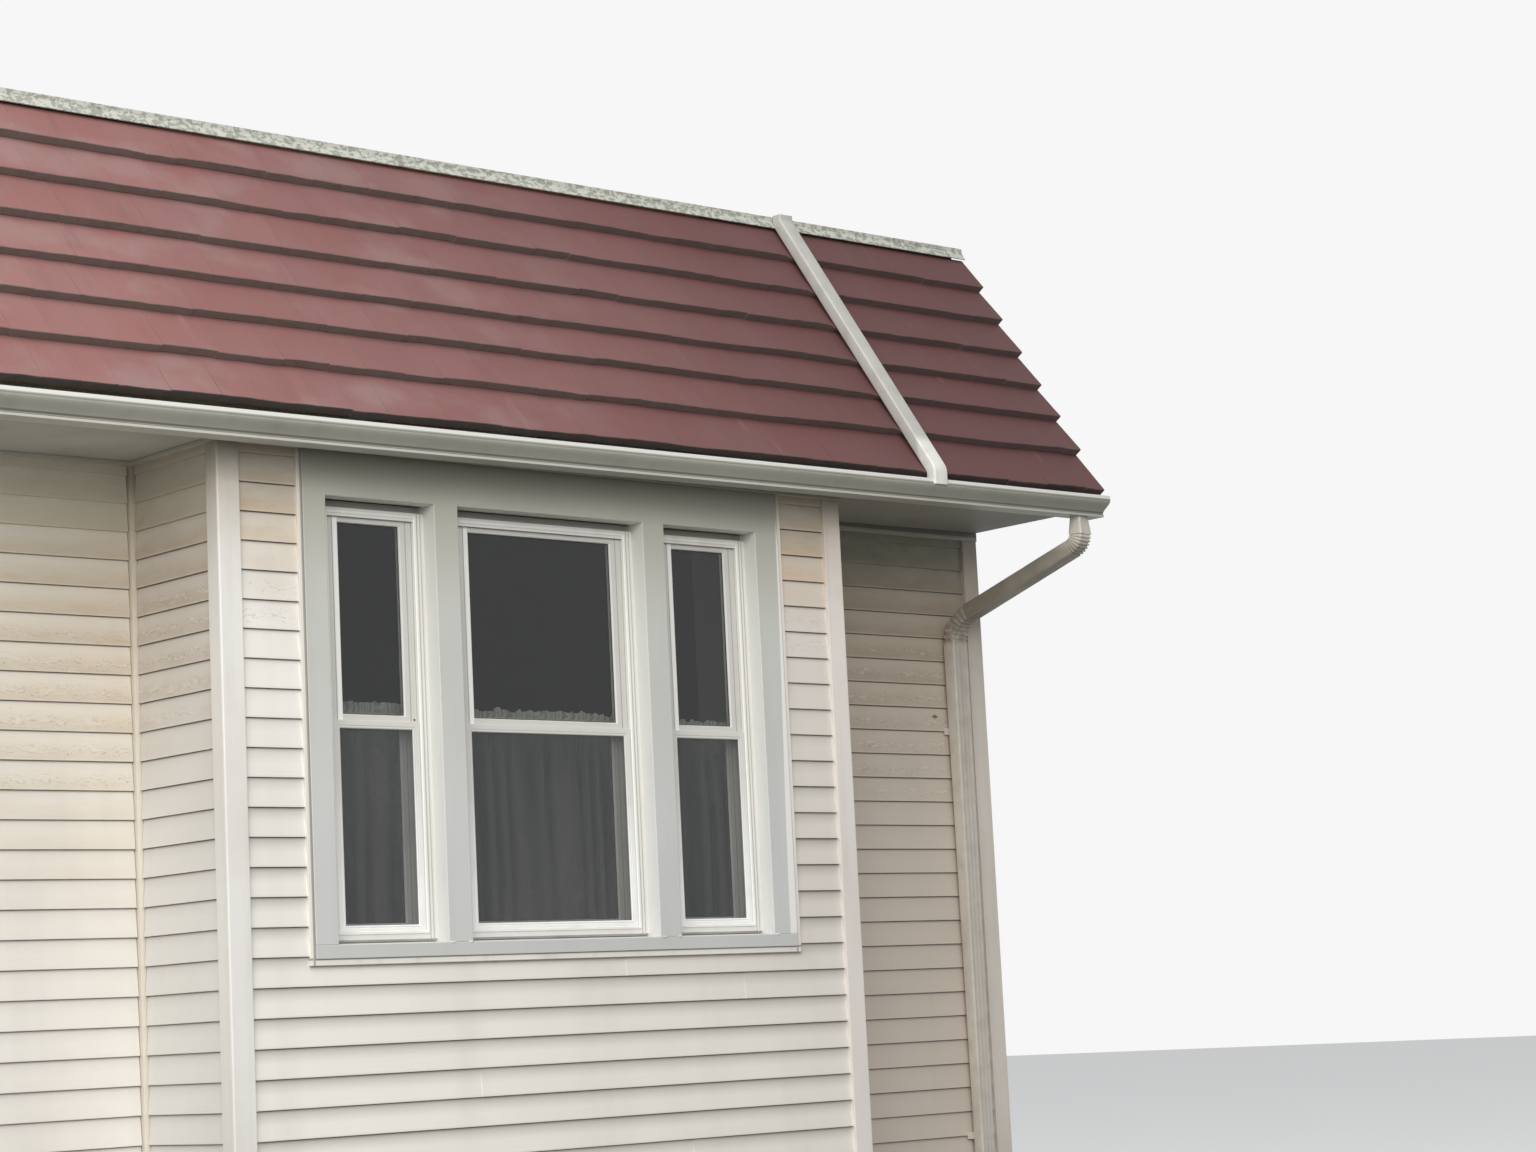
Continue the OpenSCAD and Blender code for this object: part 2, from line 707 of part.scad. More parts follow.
// Flashing that laps the top course and turns up the wall
module top_flashing() color("#cfcdc6") {
    bend = [-flashing_t, slope_z_at_wall(butt_v)];
    foot = bend - flashing_apron * [cos(roof_pitch), sin(roof_pitch)];
    settled() along_x(-house_left, rake_x) polygon(sheet_outline(
        [[bend[0], wall_top_z], bend, foot], flashing_t));
}

// Gutter: a K profile with an ogee front, a lower bead and a hem at the rim
function gutter_front(t) = let (
    a0 = gutter_floor_w - bead_d,
    b0 = bead_h,
    b1 = gutter_h - rim_band_h,
    ease = t * t * (3 - 2 * t)
) [a0 + (gutter_w - a0) * ease, b0 + (b1 - b0) * t];

// Outline from the top of the gutter's back, under its floor and up its front to height top
function gutter_path(top) = concat(
    [[0, top], [0, 0], [gutter_floor_w, 0], [gutter_floor_w, bead_h - bead_turn_h]],
    [for (i = [0 : ogee_steps]) gutter_front(i / ogee_steps)],
    [[gutter_w, top]]
);

module gutter_shell() {
    path = concat(gutter_path(gutter_h), [[gutter_w - hem_w, gutter_h]]);
    along_x(-house_left, rake_x) translate([fascia_y0, gutter_z]) mirror([1, 0])
        polygon(sheet_outline(path, gutter_t));
}

module gutter() color("#b9b5a6") settled() union() {
    gutter_shell();
    for (x = [-house_left, rake_x - gutter_t]) along_x(x, x + gutter_t)
        translate([fascia_y0, gutter_z]) mirror([1, 0]) polygon(gutter_path(gutter_h - gutter_t));
}

// Section of a downspout that has grown by the given amount all round
module elbow_section(grown) {
    translate([elbow_r, 0]) square([spout_d + 2 * grown, spout_w + 2 * grown], center = true);
}

// Ribbed elbow that turns by angle from straight down towards +Y, its inlet's centre at the
// origin; the pipe is spout_w wide along X
module elbow(angle) {
    translate([0, elbow_r, 0]) rotate([0, 90, 0]) rotate([0, 0, -90]) {
        rotate_extrude(angle = angle) elbow_section(elbow_step);
        for (i = [1 : elbow_ribs]) rotate([0, 0, angle * i / (elbow_ribs + 1) - rib_angle / 2])
            rotate_extrude(angle = rib_angle) elbow_section(elbow_step + rib_h);
    }
}

// Straight pipe downwards from the origin
module pipe_down(length) {
    translate([-spout_w / 2, -spout_d / 2, -length]) cube([spout_w, spout_d, length]);
}

// Strap round the front of the pipe with an ear on the siding at each side
module strap() {
    half = spout_w / 2 + strap_t;
    block([-half, pipe_y - spout_d / 2 - strap_t, 0], [half, pipe_y, strap_h]);
    for (side = [0, 1]) mirror([side, 0, 0]) {
        block([half - strap_t, pipe_y - eps, 0], [half, -butt_t, strap_h]);
        block([half - strap_t, -butt_t - strap_t, 0], [half + strap_ear, -butt_t, strap_h]);
    }
}

module lower_downspout() color("#a9a394") {
    top_z = gutter_z + outlet_x * tan(eave_tilt);
    elbow_z = top_z - outlet_h;
    run = [pipe_x - outlet_x, pipe_y - outlet_y];
    fall = elbow_z - pipe_top_z;
    turn = 90 - atan2(fall, norm(run));
    tangent = elbow_r * tan(turn / 2);
    slant = norm([norm(run), fall]) - 2 * tangent;
    union() {
        translate([outlet_x, outlet_y, top_z]) rotate([0, 0, -atan2(run[0], run[1])])
            pipe_down(outlet_h - tangent + eps);
        translate([outlet_x, outlet_y, elbow_z + tangent]) rotate([0, 0, -atan2(run[0], run[1])]) {
            elbow(turn);
            translate([0, elbow_r * (1 - cos(turn)), -elbow_r * sin(turn)]) rotate([turn, 0, 0]) {
                translate([0, 0, eps]) pipe_down(slant + 2 * eps);
                translate([0, 0, -slant]) rotate([0, 0, 180]) elbow(turn);
            }
        }
        translate([pipe_x, pipe_y, pipe_top_z - tangent + eps])
            pipe_down(pipe_top_z - tangent + eps - pipe_foot_z);
        for (k = strap_courses) translate([pipe_x, 0, siding_z + k * course_h - strap_h / 2]) strap();
    }
}

// Pipe that lies on the shingles and turns down over the gutter
module upper_downspout() color("#bdbcb6") {
    foot_u = -shingle_over - roof_pipe_over;
    top_u = slope_u_at(butt_v + spout_d, -spout_d);
    length = norm([roof_pipe_top_x - roof_pipe_foot_x, top_u - foot_u]);
    drift = atan2(roof_pipe_foot_x - roof_pipe_top_x, top_u - foot_u);
    mouth = slope_point(foot_u, butt_v + spout_d);
    heel = slope_point(foot_u, butt_v);
    settled() union() {
        translate([0, fascia_y0, fascia_z1]) rotate([roof_pitch, 0, 0])
            translate([roof_pipe_foot_x, foot_u, butt_v]) rotate([0, 0, drift])
                translate([-spout_w / 2, 0, 0]) cube([spout_w, length, spout_d]);
        along_x(roof_pipe_foot_x - spout_w / 2, roof_pipe_foot_x + spout_w / 2) polygon([
            slope_point(foot_u + spout_d, butt_v + spout_d), slope_point(foot_u + spout_d, butt_v + eps),
            heel, [heel[0], heel[1] - roof_spout_h],
            [heel[0] - spout_d, heel[1] - roof_spout_h], [heel[0] - spout_d, mouth[1]]
        ]);
        along_x(roof_pipe_top_x - spout_w / 2, roof_pipe_top_x + spout_w / 2) polygon([
            slope_point(top_u - spout_d, butt_v + spout_d), slope_point(top_u - spout_d, butt_v + eps),
            [-flashing_t, slope_point(slope_u_at(butt_v, -flashing_t), butt_v)[1]],
            [-flashing_t, wall_top_z], [-flashing_t - spout_d, wall_top_z]
        ]);
    }
}

foundation_front();
foundation_returns();
foundation_main();
bay_floor();
front_wall_left();
front_wall_right();
front_wall_apron();
front_wall_head();
front_wall_mullions();
left_return_wall();
right_return_wall();
main_wall_left();
main_wall_right();
main_wall_head();
ceiling();
front_siding();
return_siding();
main_siding();
bay_corner_posts();
inside_corners();
house_corner_post();
wall_top_channel();
window_head_casing();
window_casings();
window_sill();
j_channel();
left_window_frame();
middle_window_frame();
right_window_frame();
upper_sashes();
lower_sashes();
glass_panes();
insect_screens();
interior_trim();
curtain_rods();
curtains();
soffit();
fascia();
eave_ends();
roof_deck();
shingles();
top_flashing();
gutter();
lower_downspout();
upper_downspout();
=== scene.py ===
import random
from functools import partial, reduce
from math import ceil, copysign, cos, pi, radians, sin, tan, tau

import bmesh
import bpy
from mathutils import Matrix, Vector
from mathutils.noise import noise


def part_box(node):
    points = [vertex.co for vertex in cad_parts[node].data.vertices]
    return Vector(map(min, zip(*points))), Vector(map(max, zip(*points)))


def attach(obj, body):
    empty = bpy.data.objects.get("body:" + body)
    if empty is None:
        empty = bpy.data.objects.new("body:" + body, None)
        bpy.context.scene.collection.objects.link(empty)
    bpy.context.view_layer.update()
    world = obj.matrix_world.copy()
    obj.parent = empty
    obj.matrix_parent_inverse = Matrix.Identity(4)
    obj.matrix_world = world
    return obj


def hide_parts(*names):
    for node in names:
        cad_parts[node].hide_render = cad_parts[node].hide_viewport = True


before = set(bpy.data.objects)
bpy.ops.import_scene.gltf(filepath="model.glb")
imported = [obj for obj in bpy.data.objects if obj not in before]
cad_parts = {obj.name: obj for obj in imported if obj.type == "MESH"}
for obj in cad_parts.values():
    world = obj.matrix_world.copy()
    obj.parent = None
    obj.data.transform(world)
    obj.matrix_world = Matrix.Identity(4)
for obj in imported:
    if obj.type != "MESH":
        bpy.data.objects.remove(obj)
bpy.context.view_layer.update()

# Camera
# It stands on the ground to the left of the bay, at chest height, and looks up and to the
# right along the eave, a little tilted, as a person would hold it.
EYE = Vector((-7.3239, -9.7957, 1.1138))
YAW = radians(42.286)
PITCH = radians(8.006)
ROLL = radians(-2.911)
LENS = 75.356
SENSOR = 36.0

ahead = Vector((sin(YAW) * cos(PITCH), cos(YAW) * cos(PITCH), sin(PITCH)))
level = Vector((cos(YAW), -sin(YAW), 0))
upright = level.cross(ahead)
right = cos(ROLL) * level + sin(ROLL) * upright
up = cos(ROLL) * upright - sin(ROLL) * level
camera_data = bpy.data.cameras.new("camera")
camera_data.sensor_width = SENSOR
camera_data.lens = LENS
camera = bpy.data.objects.new("camera", camera_data)
camera.matrix_world = Matrix([
    (right[i], up[i], -ahead[i], EYE[i]) for i in range(3)
] + [(0, 0, 0, 1)])
bpy.context.scene.collection.objects.link(camera)
bpy.context.scene.camera = camera
bpy.context.scene.view_settings.view_transform = "Standard"


# Daylight, floor and backdrop
# An overcast sky: one broad soft lamp high on the left in front of the bay and a dim even
# fill. The floor and the backdrop are plain and pale; behind the panes the backdrop is painted
# near black, painted darkness that stands in for an unlit room.
KEY_HEIGHT = radians(33)
KEY_SIDE = radians(44)
KEY_DISTANCE = 15.0
KEY_SIZE = 21.0
KEY_WATTS = 3300.0
KEY_AIM = Vector((0, -0.5, 2.0))
FILL_STRENGTH = 0.28
BACKDROP_STRENGTH = 0.93
UNLIT_STRENGTH = 0.008
FLOOR_GLOW = 0.42
FLOOR_REACH = 60.0

tree = None


def draw_in(empty):
    """Makes a node tree, emptied, the one that the helpers below work in."""
    global tree
    tree = empty
    tree.nodes.clear()


def add_node(kind, inputs=None, **settings):
    """Adds a node, makes its settings, and fills its inputs with values or links."""
    made = tree.nodes.new(kind)
    for name, value in settings.items():
        setattr(made, name, value)
    for key, value in (inputs or {}).items():
        if isinstance(value, bpy.types.NodeSocket):
            tree.links.new(value, made.inputs[key])
        else:
            made.inputs[key].default_value = value
    return made


def calc(operation, first, second=0.0):
    """The result of a sum on one or two values."""
    return add_node("ShaderNodeMath", {0: first, 1: second}, operation=operation).outputs[0]


def together(operation, *values):
    """Several values taken together by one operation."""
    return reduce(lambda first, second: calc(operation, first, second), values)


times = partial(together, "MULTIPLY")
plus = partial(together, "ADD")
minus = partial(together, "SUBTRACT")
larger = partial(together, "MAXIMUM")


def shader(kind, colour, **strength):
    """One plain shader of a grey or tinted colour."""
    return add_node("ShaderNode" + kind, {"Color": (*colour, 1.0), **strength}).outputs[0]


def blend(share, first, second):
    """Two shaders mixed."""
    return add_node("ShaderNodeMixShader", {0: share, 1: first, 2: second}).outputs[0]


def seen_ray():
    """The kinds of ray, and whether this one is seen directly, in a mirror or through clear glass."""
    ray = add_node("ShaderNodeLightPath").outputs
    return ray, larger(ray["Is Camera Ray"], ray["Is Glossy Ray"], ray["Is Transmission Ray"])


world = bpy.data.worlds.new("daylight")
bpy.context.scene.world = world
world.use_nodes = True
draw_in(world.node_tree)
ray, seen = seen_ray()
# Camera rays that have passed through the panes meet a near-black backdrop: painted darkness for the unlit
# room
behind_panes = times(ray["Is Camera Ray"], calc("GREATER_THAN", ray["Transparent Depth"], 0.5))
open_air = blend(seen, shader("Background", (0.93, 0.97, 1.0), Strength=FILL_STRENGTH),
                 shader("Background", (1.0, 1.0, 1.0), Strength=BACKDROP_STRENGTH))
unlit_room = shader("Background", (0.9, 1.0, 0.98), Strength=UNLIT_STRENGTH)
add_node("ShaderNodeOutputWorld", {"Surface": blend(behind_panes, open_air, unlit_room)})

key_data = bpy.data.lights.new("key", "AREA")
key_data.energy = KEY_WATTS
key_data.shape = "DISK"
key_data.size = KEY_SIZE
key_data.color = (1.0, 0.985, 0.965)
key = bpy.data.objects.new("key", key_data)
from_key = Vector((-sin(KEY_SIDE) * cos(KEY_HEIGHT), -cos(KEY_SIDE) * cos(KEY_HEIGHT),
                   sin(KEY_HEIGHT)))
key.location = KEY_AIM + from_key * KEY_DISTANCE
key.visible_camera = False
key.rotation_mode = "QUATERNION"
key.rotation_quaternion = from_key.to_track_quat("Z", "Y")
bpy.context.scene.collection.objects.link(key)


def new_material(name):
    """A material with an empty tree, in which the helpers then work."""
    made = bpy.data.materials.new(name)
    made.use_nodes = True
    draw_in(made.node_tree)
    return made


floor_mesh = bpy.data.meshes.new("floor")
floor_corners = [(FLOOR_REACH * i, FLOOR_REACH * j, 0) for i, j in ((-1, -1), (1, -1), (1, 1), (-1, 1))]
floor_mesh.from_pydata(floor_corners, [], [(0, 1, 2, 3)])
floor = bpy.data.objects.new("floor", floor_mesh)
bpy.context.scene.collection.objects.link(floor)
floor_mesh.materials.append(new_material("floor"))
glow = shader("Emission", (1.0, 1.0, 1.0), Strength=FLOOR_GLOW)
lit = add_node("ShaderNodeAddShader", {0: shader("BsdfDiffuse", (0.60, 0.60, 0.60)), 1: glow})
dull = shader("BsdfDiffuse", (0.16, 0.16, 0.15))
add_node("ShaderNodeOutputMaterial", {"Surface": blend(seen_ray()[1], dull, lit.outputs[0])})


# Foundation
# Poured concrete walls under the bay and under the house wall, left bare, with faint marks
# of the form boards, rain stains and a damp, darker foot.
FORM_BOARD = 0.145
WELDED = 0.00005
SHARP = radians(35)


def fade(value, low, high, end=1.0, start=0.0):
    """Goes smoothly from start to end while a value goes from low to high."""
    return add_node("ShaderNodeMapRange", {
        "Value": value, "From Min": low, "From Max": high, "To Min": start, "To Max": end
    }, interpolation_type="SMOOTHSTEP").outputs["Result"]


def apart(first, second):
    """How far two values lie apart."""
    return calc("ABSOLUTE", minus(first, second))


def repeat(value, pitch):
    """The share, from 0 to 1, of each pitch that a value has gone through."""
    return calc("FRACT", calc("DIVIDE", value, pitch))


def tone(code):
    """The linear colour of a six-figure colour code."""
    parts = [int(code[i:i + 2], 16) / 255 for i in (0, 2, 4)]
    return (*[c / 12.92 if c <= 0.04045 else ((c + 0.055) / 1.055) ** 2.4 for c in parts], 1.0)


def mix(share, first, second):
    """A second colour laid over the first; each is a node's or a six-figure code."""
    first, second = (tone(c) if isinstance(c, str) else c for c in (first, second))
    return add_node("ShaderNodeMix", {0: share, 6: first, 7: second}, data_type="RGBA").outputs[2]


def layers(body, *coats):
    """A colour under several coats, each a mask that says where it lies and its colour."""
    for share, coat in coats:
        body = mix(share, body, coat)
    return body


def place():
    """The place on the object, as a vector and as its three numbers."""
    spot = add_node("ShaderNodeNewGeometry").outputs["Position"]
    return spot, *add_node("ShaderNodeSeparateXYZ", {0: spot}).outputs


def facing():
    """The three numbers of the surface's direction."""
    direction = add_node("ShaderNodeNewGeometry").outputs["Normal"]
    return tuple(add_node("ShaderNodeSeparateXYZ", {0: direction}).outputs)


def cloud(spot, scale, detail=4.0, stretch=(1.0, 1.0, 1.0), distortion=0.0):
    """Cloudy noise from 0 to 1, drawn out along an axis by stretch."""
    drawn = add_node("ShaderNodeMapping", {"Vector": spot, "Scale": stretch}).outputs[0]
    return add_node("ShaderNodeTexNoise", {
        "Vector": drawn, "Scale": scale, "Detail": detail, "Distortion": distortion}).outputs["Fac"]


def surface(colour, roughness, height=None, depth=0.0, strength=1.0, **others):
    """Ends a material: a surface of this colour and roughness, with a relief of this height and depth."""
    looks = {"Base Color": colour, "Roughness": roughness, **others}
    if height:
        relief = {"Height": height, "Distance": depth, "Strength": strength}
        looks["Normal"] = add_node("ShaderNodeBump", relief).outputs[0]
    made = add_node("ShaderNodeBsdfPrincipled", looks)
    add_node("ShaderNodeOutputMaterial", {"Surface": made.outputs[0]})


def new_group(name, **inputs):
    """A node group, in which the helpers then work, and its input sockets by name."""
    made = bpy.data.node_groups.new(name, "ShaderNodeTree")
    for label, value in inputs.items():
        made.interface.new_socket(label, in_out="INPUT", socket_type="NodeSocketFloat").default_value = value
    draw_in(made)
    return made, add_node("NodeGroupInput").outputs


def put_out(**masks):
    """Ends a node group with its outputs."""
    for label in masks:
        tree.interface.new_socket(label, in_out="OUTPUT", socket_type="NodeSocketFloat")
    add_node("NodeGroupOutput", masks)


def grouped(group, **inputs):
    """The mask of a group, or its masks by name where it has several."""
    masks = add_node("ShaderNodeGroup", inputs, node_tree=group).outputs
    return masks[0] if len(masks) == 1 else masks


# Group: rain marks, which run down a wall in soft streaks and gather in blotches
rain_marks, given = new_group("rain marks", Width=9.0, Amount=0.5)
spot = place()[0]
streaks = fade(cloud(spot, given["Width"], 5.0, (1.0, 1.0, 0.08)), 0.48, 0.75)
patches = fade(cloud(spot, 2.3, 6.0), 0.4, 0.7)
put_out(Mask=calc("MINIMUM", times(plus(streaks, times(patches, 0.6)), given["Amount"]), 1.0))

# Group: dust, fine specks and clouds that dull any surface
dust, given = new_group("dust", Scale=6.0, Amount=0.5)
spot = place()[0]
clouds = fade(cloud(spot, given["Scale"], 8.0), 0.42, 0.72)
specks = fade(cloud(spot, 160.0, 2.0), 0.62, 0.74)
both = plus(times(clouds, 0.8), times(specks, 0.35))
put_out(Mask=calc("MINIMUM", times(both, given["Amount"]), 1.0))


concrete = new_material("concrete")
spot, _, _, z = place()
body = layers(
    mix(cloud(spot, 3.0, 8.0), "8f8a80", "b1aca0"),
    (grouped(rain_marks, Width=6.0, Amount=0.45), "6d685e"),
    (fade(plus(z, times(cloud(spot, 4.0), 0.2)), 0.3, 0.1, 0.65), "565246"))
ridge = fade(apart(repeat(z, FORM_BOARD), 0.5), 0.47, 0.5)
surface(body, 0.92, plus(cloud(spot, 55.0, 8.0), times(ridge, 0.6)), 0.004)


def round_edges(piece, width, segments):
    """Rounds a piece's sharp edges."""
    rounded = piece.modifiers.new("rounded", "BEVEL")
    rounded.width = width
    rounded.segments = segments
    rounded.limit_method = "ANGLE"
    rounded.angle_limit = SHARP
    return rounded


def dress(finish, *names, soften=0.0):
    """Gives CAD nodes their finish, and rounds their edges where soften says by how much."""
    for name in names:
        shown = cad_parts[name]
        if not shown.material_slots:
            shown.data.materials.append(finish)
        for held in shown.material_slots:
            held.material = finish
        if soften:
            shown.modifiers.new("weld", "WELD").merge_threshold = WELDED
            round_edges(shown, soften, 2)


dress(concrete, "foundation_front", "foundation_returns", "foundation_main", soften=0.006)


# Floor of the bay
# Narrow tongue-and-groove boards laid along the wall on joists, oiled and worn; the cut
# edge at the back shows the end of the joists and the boards.
BOARD = 0.083

floor_wood = new_material("floor wood")
_, x, y, z = place()
row = calc("FLOOR", calc("DIVIDE", y, BOARD))
grain_at = add_node("ShaderNodeCombineXYZ", {0: plus(x, times(row, 3.7)), 1: y, 2: z})
grain = cloud(grain_at.outputs[0], 9.0, 8.0, (0.6, 14.0, 14.0), 0.4)
board_tone = add_node("ShaderNodeTexWhiteNoise", {"W": row}, noise_dimensions="1D").outputs["Value"]
gap = fade(apart(repeat(y, BOARD), 0.5), 0.475, 0.5)
body = layers(mix(grain, "6f4a2b", "a87c4e"), (times(board_tone, 0.35), "5c3b22"), (gap, "2c1c10"))
surface(body, fade(grain, 0.2, 0.8, 0.6, 0.38), minus(times(grain, 0.3), gap), 0.0015)
dress(floor_wood, "bay_floor", soften=0.002)


# Walls of the bay and of the house
# Framed walls: sheathing outside, studs with insulation between them, plaster inside. The
# faces where the house wall is cut off show those layers.
STUD_PITCH = 0.405
STUD = 0.038
SHEATHING = 0.012
PLASTER_FACE = 0.127
BAY_HALF = 1.28
HOUSE_END = 2.2
LARGE = 20.0

plaster = new_material("plaster")
spot, x, y, _ = place()
nx, ny, nz = facing()
# The room side is painted a dim grey: painted shade, so the room reads as unlit
paint = mix(grouped(dust, Scale=2.0, Amount=0.35), "6c6e64", "5e5f55")
sheathing = mix(cloud(spot, 30.0, 6.0, (1.0, 1.0, 0.2)), "a08560", "c2a67d")
stud_edge = 0.5 - STUD / STUD_PITCH / 2
stud = fade(apart(repeat(plus(x, LARGE), STUD_PITCH), 0.5), stud_edge, stud_edge + 0.002)
wool = mix(cloud(spot, 60.0, 8.0), "b49a86", "cdb9a4")
end_face = layers(
    mix(cloud(spot, 45.0, 8.0, (1.0, 1.0, 0.06)), "b08f62", "d0b385"),
    (fade(y, SHEATHING + 0.001, SHEATHING), "7d6a4d"),
    (fade(y, PLASTER_FACE, PLASTER_FACE + 0.001), "e4dfd2"))
from_middle = calc("ABSOLUTE", x)
sideways = larger(fade(nx, -0.4, -0.8), fade(nx, 0.4, 0.8))
at_end = times(sideways, fade(from_middle, HOUSE_END, HOUSE_END + 0.1))
body = layers(
    mix(fade(ny, -0.4, -0.8), paint, sheathing),
    # Beyond the bay's width the room-side faces are painted near black: painted shade of the unlit room
    (fade(from_middle, BAY_HALF, BAY_HALF + 0.03, 0.95), "2a2c29"),
    (times(at_end, fade(y, -0.01, 0.0)), end_face),
    (fade(nz, 0.6, 0.9), mix(stud, wool, sheathing)))
surface(body, 0.85, cloud(spot, 40.0, 8.0), 0.0012)
dress(plaster, "front_wall_left", "front_wall_right", "front_wall_apron", "front_wall_head",
      "front_wall_mullions", "left_return_wall", "right_return_wall", "main_wall_left", "main_wall_right",
      "main_wall_head", "ceiling")


# Clapboards
# Vinyl siding that copies narrow clapboards: each course leans out to a rolled lower edge
# and hooks over the one below. Long runs are lapped; the walls have yellowed under the eave.
COURSE = 0.1016
SIDING_FOOT = 0.4184
BUTT = 0.013
LAP_UNDER = 0.005
LAP_LIFT = 0.0013
LAP_SPREAD = 0.22
LAP_LENGTH = 0.03
POCKET = 0.008
BOARD_STEP = 0.16
BOARD_BACK = 0.0005
ALONG = Vector((1, 0, 0))
OUTWARD = Vector((0, -1, 0))
# Points of a course's face: distance from the sheathing, and height above its lower edge
COURSE_FACE = [(0.0040, 0.0), (0.0112, 0.0), (0.0126, 0.0006), (BUTT, 0.0022), (0.0126, 0.008),
               (0.0100, 0.038), (0.0070, 0.071), (0.0042, COURSE), (0.0037, COURSE + LAP_UNDER)]
# Laps in the wall below the windows: number of the course, and place along the wall
APRON_LAPS = {9: 0.262, 8: 0.842, 5: -0.42, 2: 0.55}


def skin(rings, round_trip=False):
    """A closed shell over rings of equally many points."""
    count = len(rings[0])
    points = [tuple(p) for ring in rings for p in ring]
    spans = len(rings) if round_trip else len(rings) - 1
    faces = []
    for i in range(spans):
        a, b = i * count, (i + 1) % len(rings) * count
        faces += [(a + j, a + (j + 1) % count, b + (j + 1) % count, b + j) for j in range(count)]
    if not round_trip:
        faces.append(tuple(reversed(range(count))))
        faces.append(tuple(range(len(points) - count, len(points))))
    return points, faces


def build(name, shells, finishes, angle=30.0):
    """One piece made of shells, each with its points, its faces and, where the piece has several
    finishes, the number of each face's finish."""
    points, faces, numbers = [], [], []
    for shell in shells:
        start = len(points)
        points += shell[0]
        faces += [tuple(start + i for i in face) for face in shell[1]]
        numbers += shell[2] if len(shell) > 2 else [0] * len(shell[1])
    mesh = bpy.data.meshes.new(name)
    mesh.from_pydata(points, [], faces)
    for finish in finishes:
        mesh.materials.append(finish)
    mesh.polygons.foreach_set("material_index", numbers)
    whole = bmesh.new()
    whole.from_mesh(mesh)
    bmesh.ops.recalc_face_normals(whole, faces=whole.faces)
    whole.to_mesh(mesh)
    whole.free()
    mesh.shade_smooth()
    mesh.set_sharp_from_angle(angle=radians(angle))
    made = bpy.data.objects.new(name, mesh)
    bpy.context.scene.collection.objects.link(made)
    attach(made, "root")
    return made


def clapboard(start, along, out, x0, x1, z0, top, lifted=False):
    """One board from x0 to x1 along its wall, cut off at height top, lifted where its end laps the next."""
    steps = max(2, ceil((x1 - x0) / BOARD_STEP))
    rings = []
    for i in range(steps + 1):
        s = x0 + (x1 - x0) * i / steps
        swell = 0.0007 * (noise((s * 1.7, z0 * 9.0, out.x * 3.0)) + 0.5)
        if lifted:
            swell += LAP_LIFT * max(0.0, 1 - (s - x0) / LAP_SPREAD)
        sag = 0.0006 * noise((s * 0.9, z0 * 5.0, 7.0))
        ring = [(d, h) for d, h in COURSE_FACE if z0 + h <= top]
        if len(ring) < len(COURSE_FACE):
            low, high = COURSE_FACE[len(ring) - 1:len(ring) + 1]
            t = (top - z0 - low[1]) / (high[1] - low[1])
            ring.append((low[0] + t * (high[0] - low[0]), top - z0))
        ring += [(BOARD_BACK, ring[-1][1]), (BOARD_BACK, 0.0)]
        rings.append([
            start + along * s + out * (d + swell * (d > 0.003)) + Vector((0, 0, z0 + h + sag * (h < 0.02)))
            for d, h in ring])
    return skin(rings)


def wall_of_clapboards(start, along, out, length, first, top, gap=None, laps=None):
    """Courses from height first to top; gap is (x0, x1, z0) of what interrupts them, laps their joints."""
    shells = []
    for k in range(ceil((top - first) / COURSE)):
        z0 = first + k * COURSE
        runs = [(0.0, length, top)]
        if gap and z0 + COURSE > gap[2]:
            runs = [(0.0, gap[0], top), (gap[1], length, top)]
            if z0 < gap[2]:
                runs.append((gap[0], gap[1], gap[2]))
        for x0, x1, run_top in runs:
            lap = (laps or {}).get(k)
            if lap is not None and x0 < lap < x1:
                shells.append(clapboard(start, along, out, x0, lap + LAP_LENGTH, z0, run_top))
                shells.append(clapboard(start, along, out, lap, x1, z0, run_top, lifted=True))
            else:
                shells.append(clapboard(start, along, out, x0, x1, z0, run_top))
    return shells


# Group: film and eave shade, a height mask under the eave that thins out downwards in ragged
# patches; it lays the tan film, and also painted shade right under the eave
film_and_eave_shade, given = new_group("film_and_eave_shade", Top=3.2, Foot=2.4, Ragged=0.5)
spot, _, _, z = place()
ragged = times(minus(cloud(spot, 2.6, 6.0), 0.5), given["Ragged"])
smears = fade(cloud(spot, 7.0, 7.0, (1.0, 1.0, 3.0), 0.6), 0.25, 0.75, 1.0, 0.75)
put_out(Mask=times(fade(plus(z, ragged), given["Foot"], given["Top"]), smears))

# Group: course shading, where a clapboard keeps its dirt and where shade is painted on it: Rise
# runs from 0 at its rolled edge to 1 at the next one, Seam the line there, painted shadow with
# some dirt, Lower the part that stays dirty, Peel a ragged tide mark, Flecks the bare vinyl beside
# it and Underside the rolled edge from below, painted dark as shade
course_shading, given = new_group("course shading", Tide=0.3)
spot, _, _, z = place()
rise = repeat(minus(z, SIDING_FOOT - COURSE), COURSE)
wander = times(minus(cloud(spot, 17.0, 12.0, (1.0, 1.0, 1.5), 0.9), 0.5), 0.85)
from_tide = minus(rise, plus(given["Tide"], wander))
line = fade(calc("ABSOLUTE", from_tide), 0.024, 0.0)
line = larger(line, fade(apart(from_tide, 0.17), 0.018, 0.0, 0.7))
line = larger(line, fade(calc("ABSOLUTE", plus(from_tide, 0.15)), 0.018, 0.0, 0.6))
flakes = fade(cloud(spot, 34.0, 8.0, (1.0, 1.0, 1.6), 1.2), 0.40, 0.54)
bright = fade(cloud(spot, 70.0, 5.0, (0.6, 0.6, 2.0)), 0.50, 0.62)
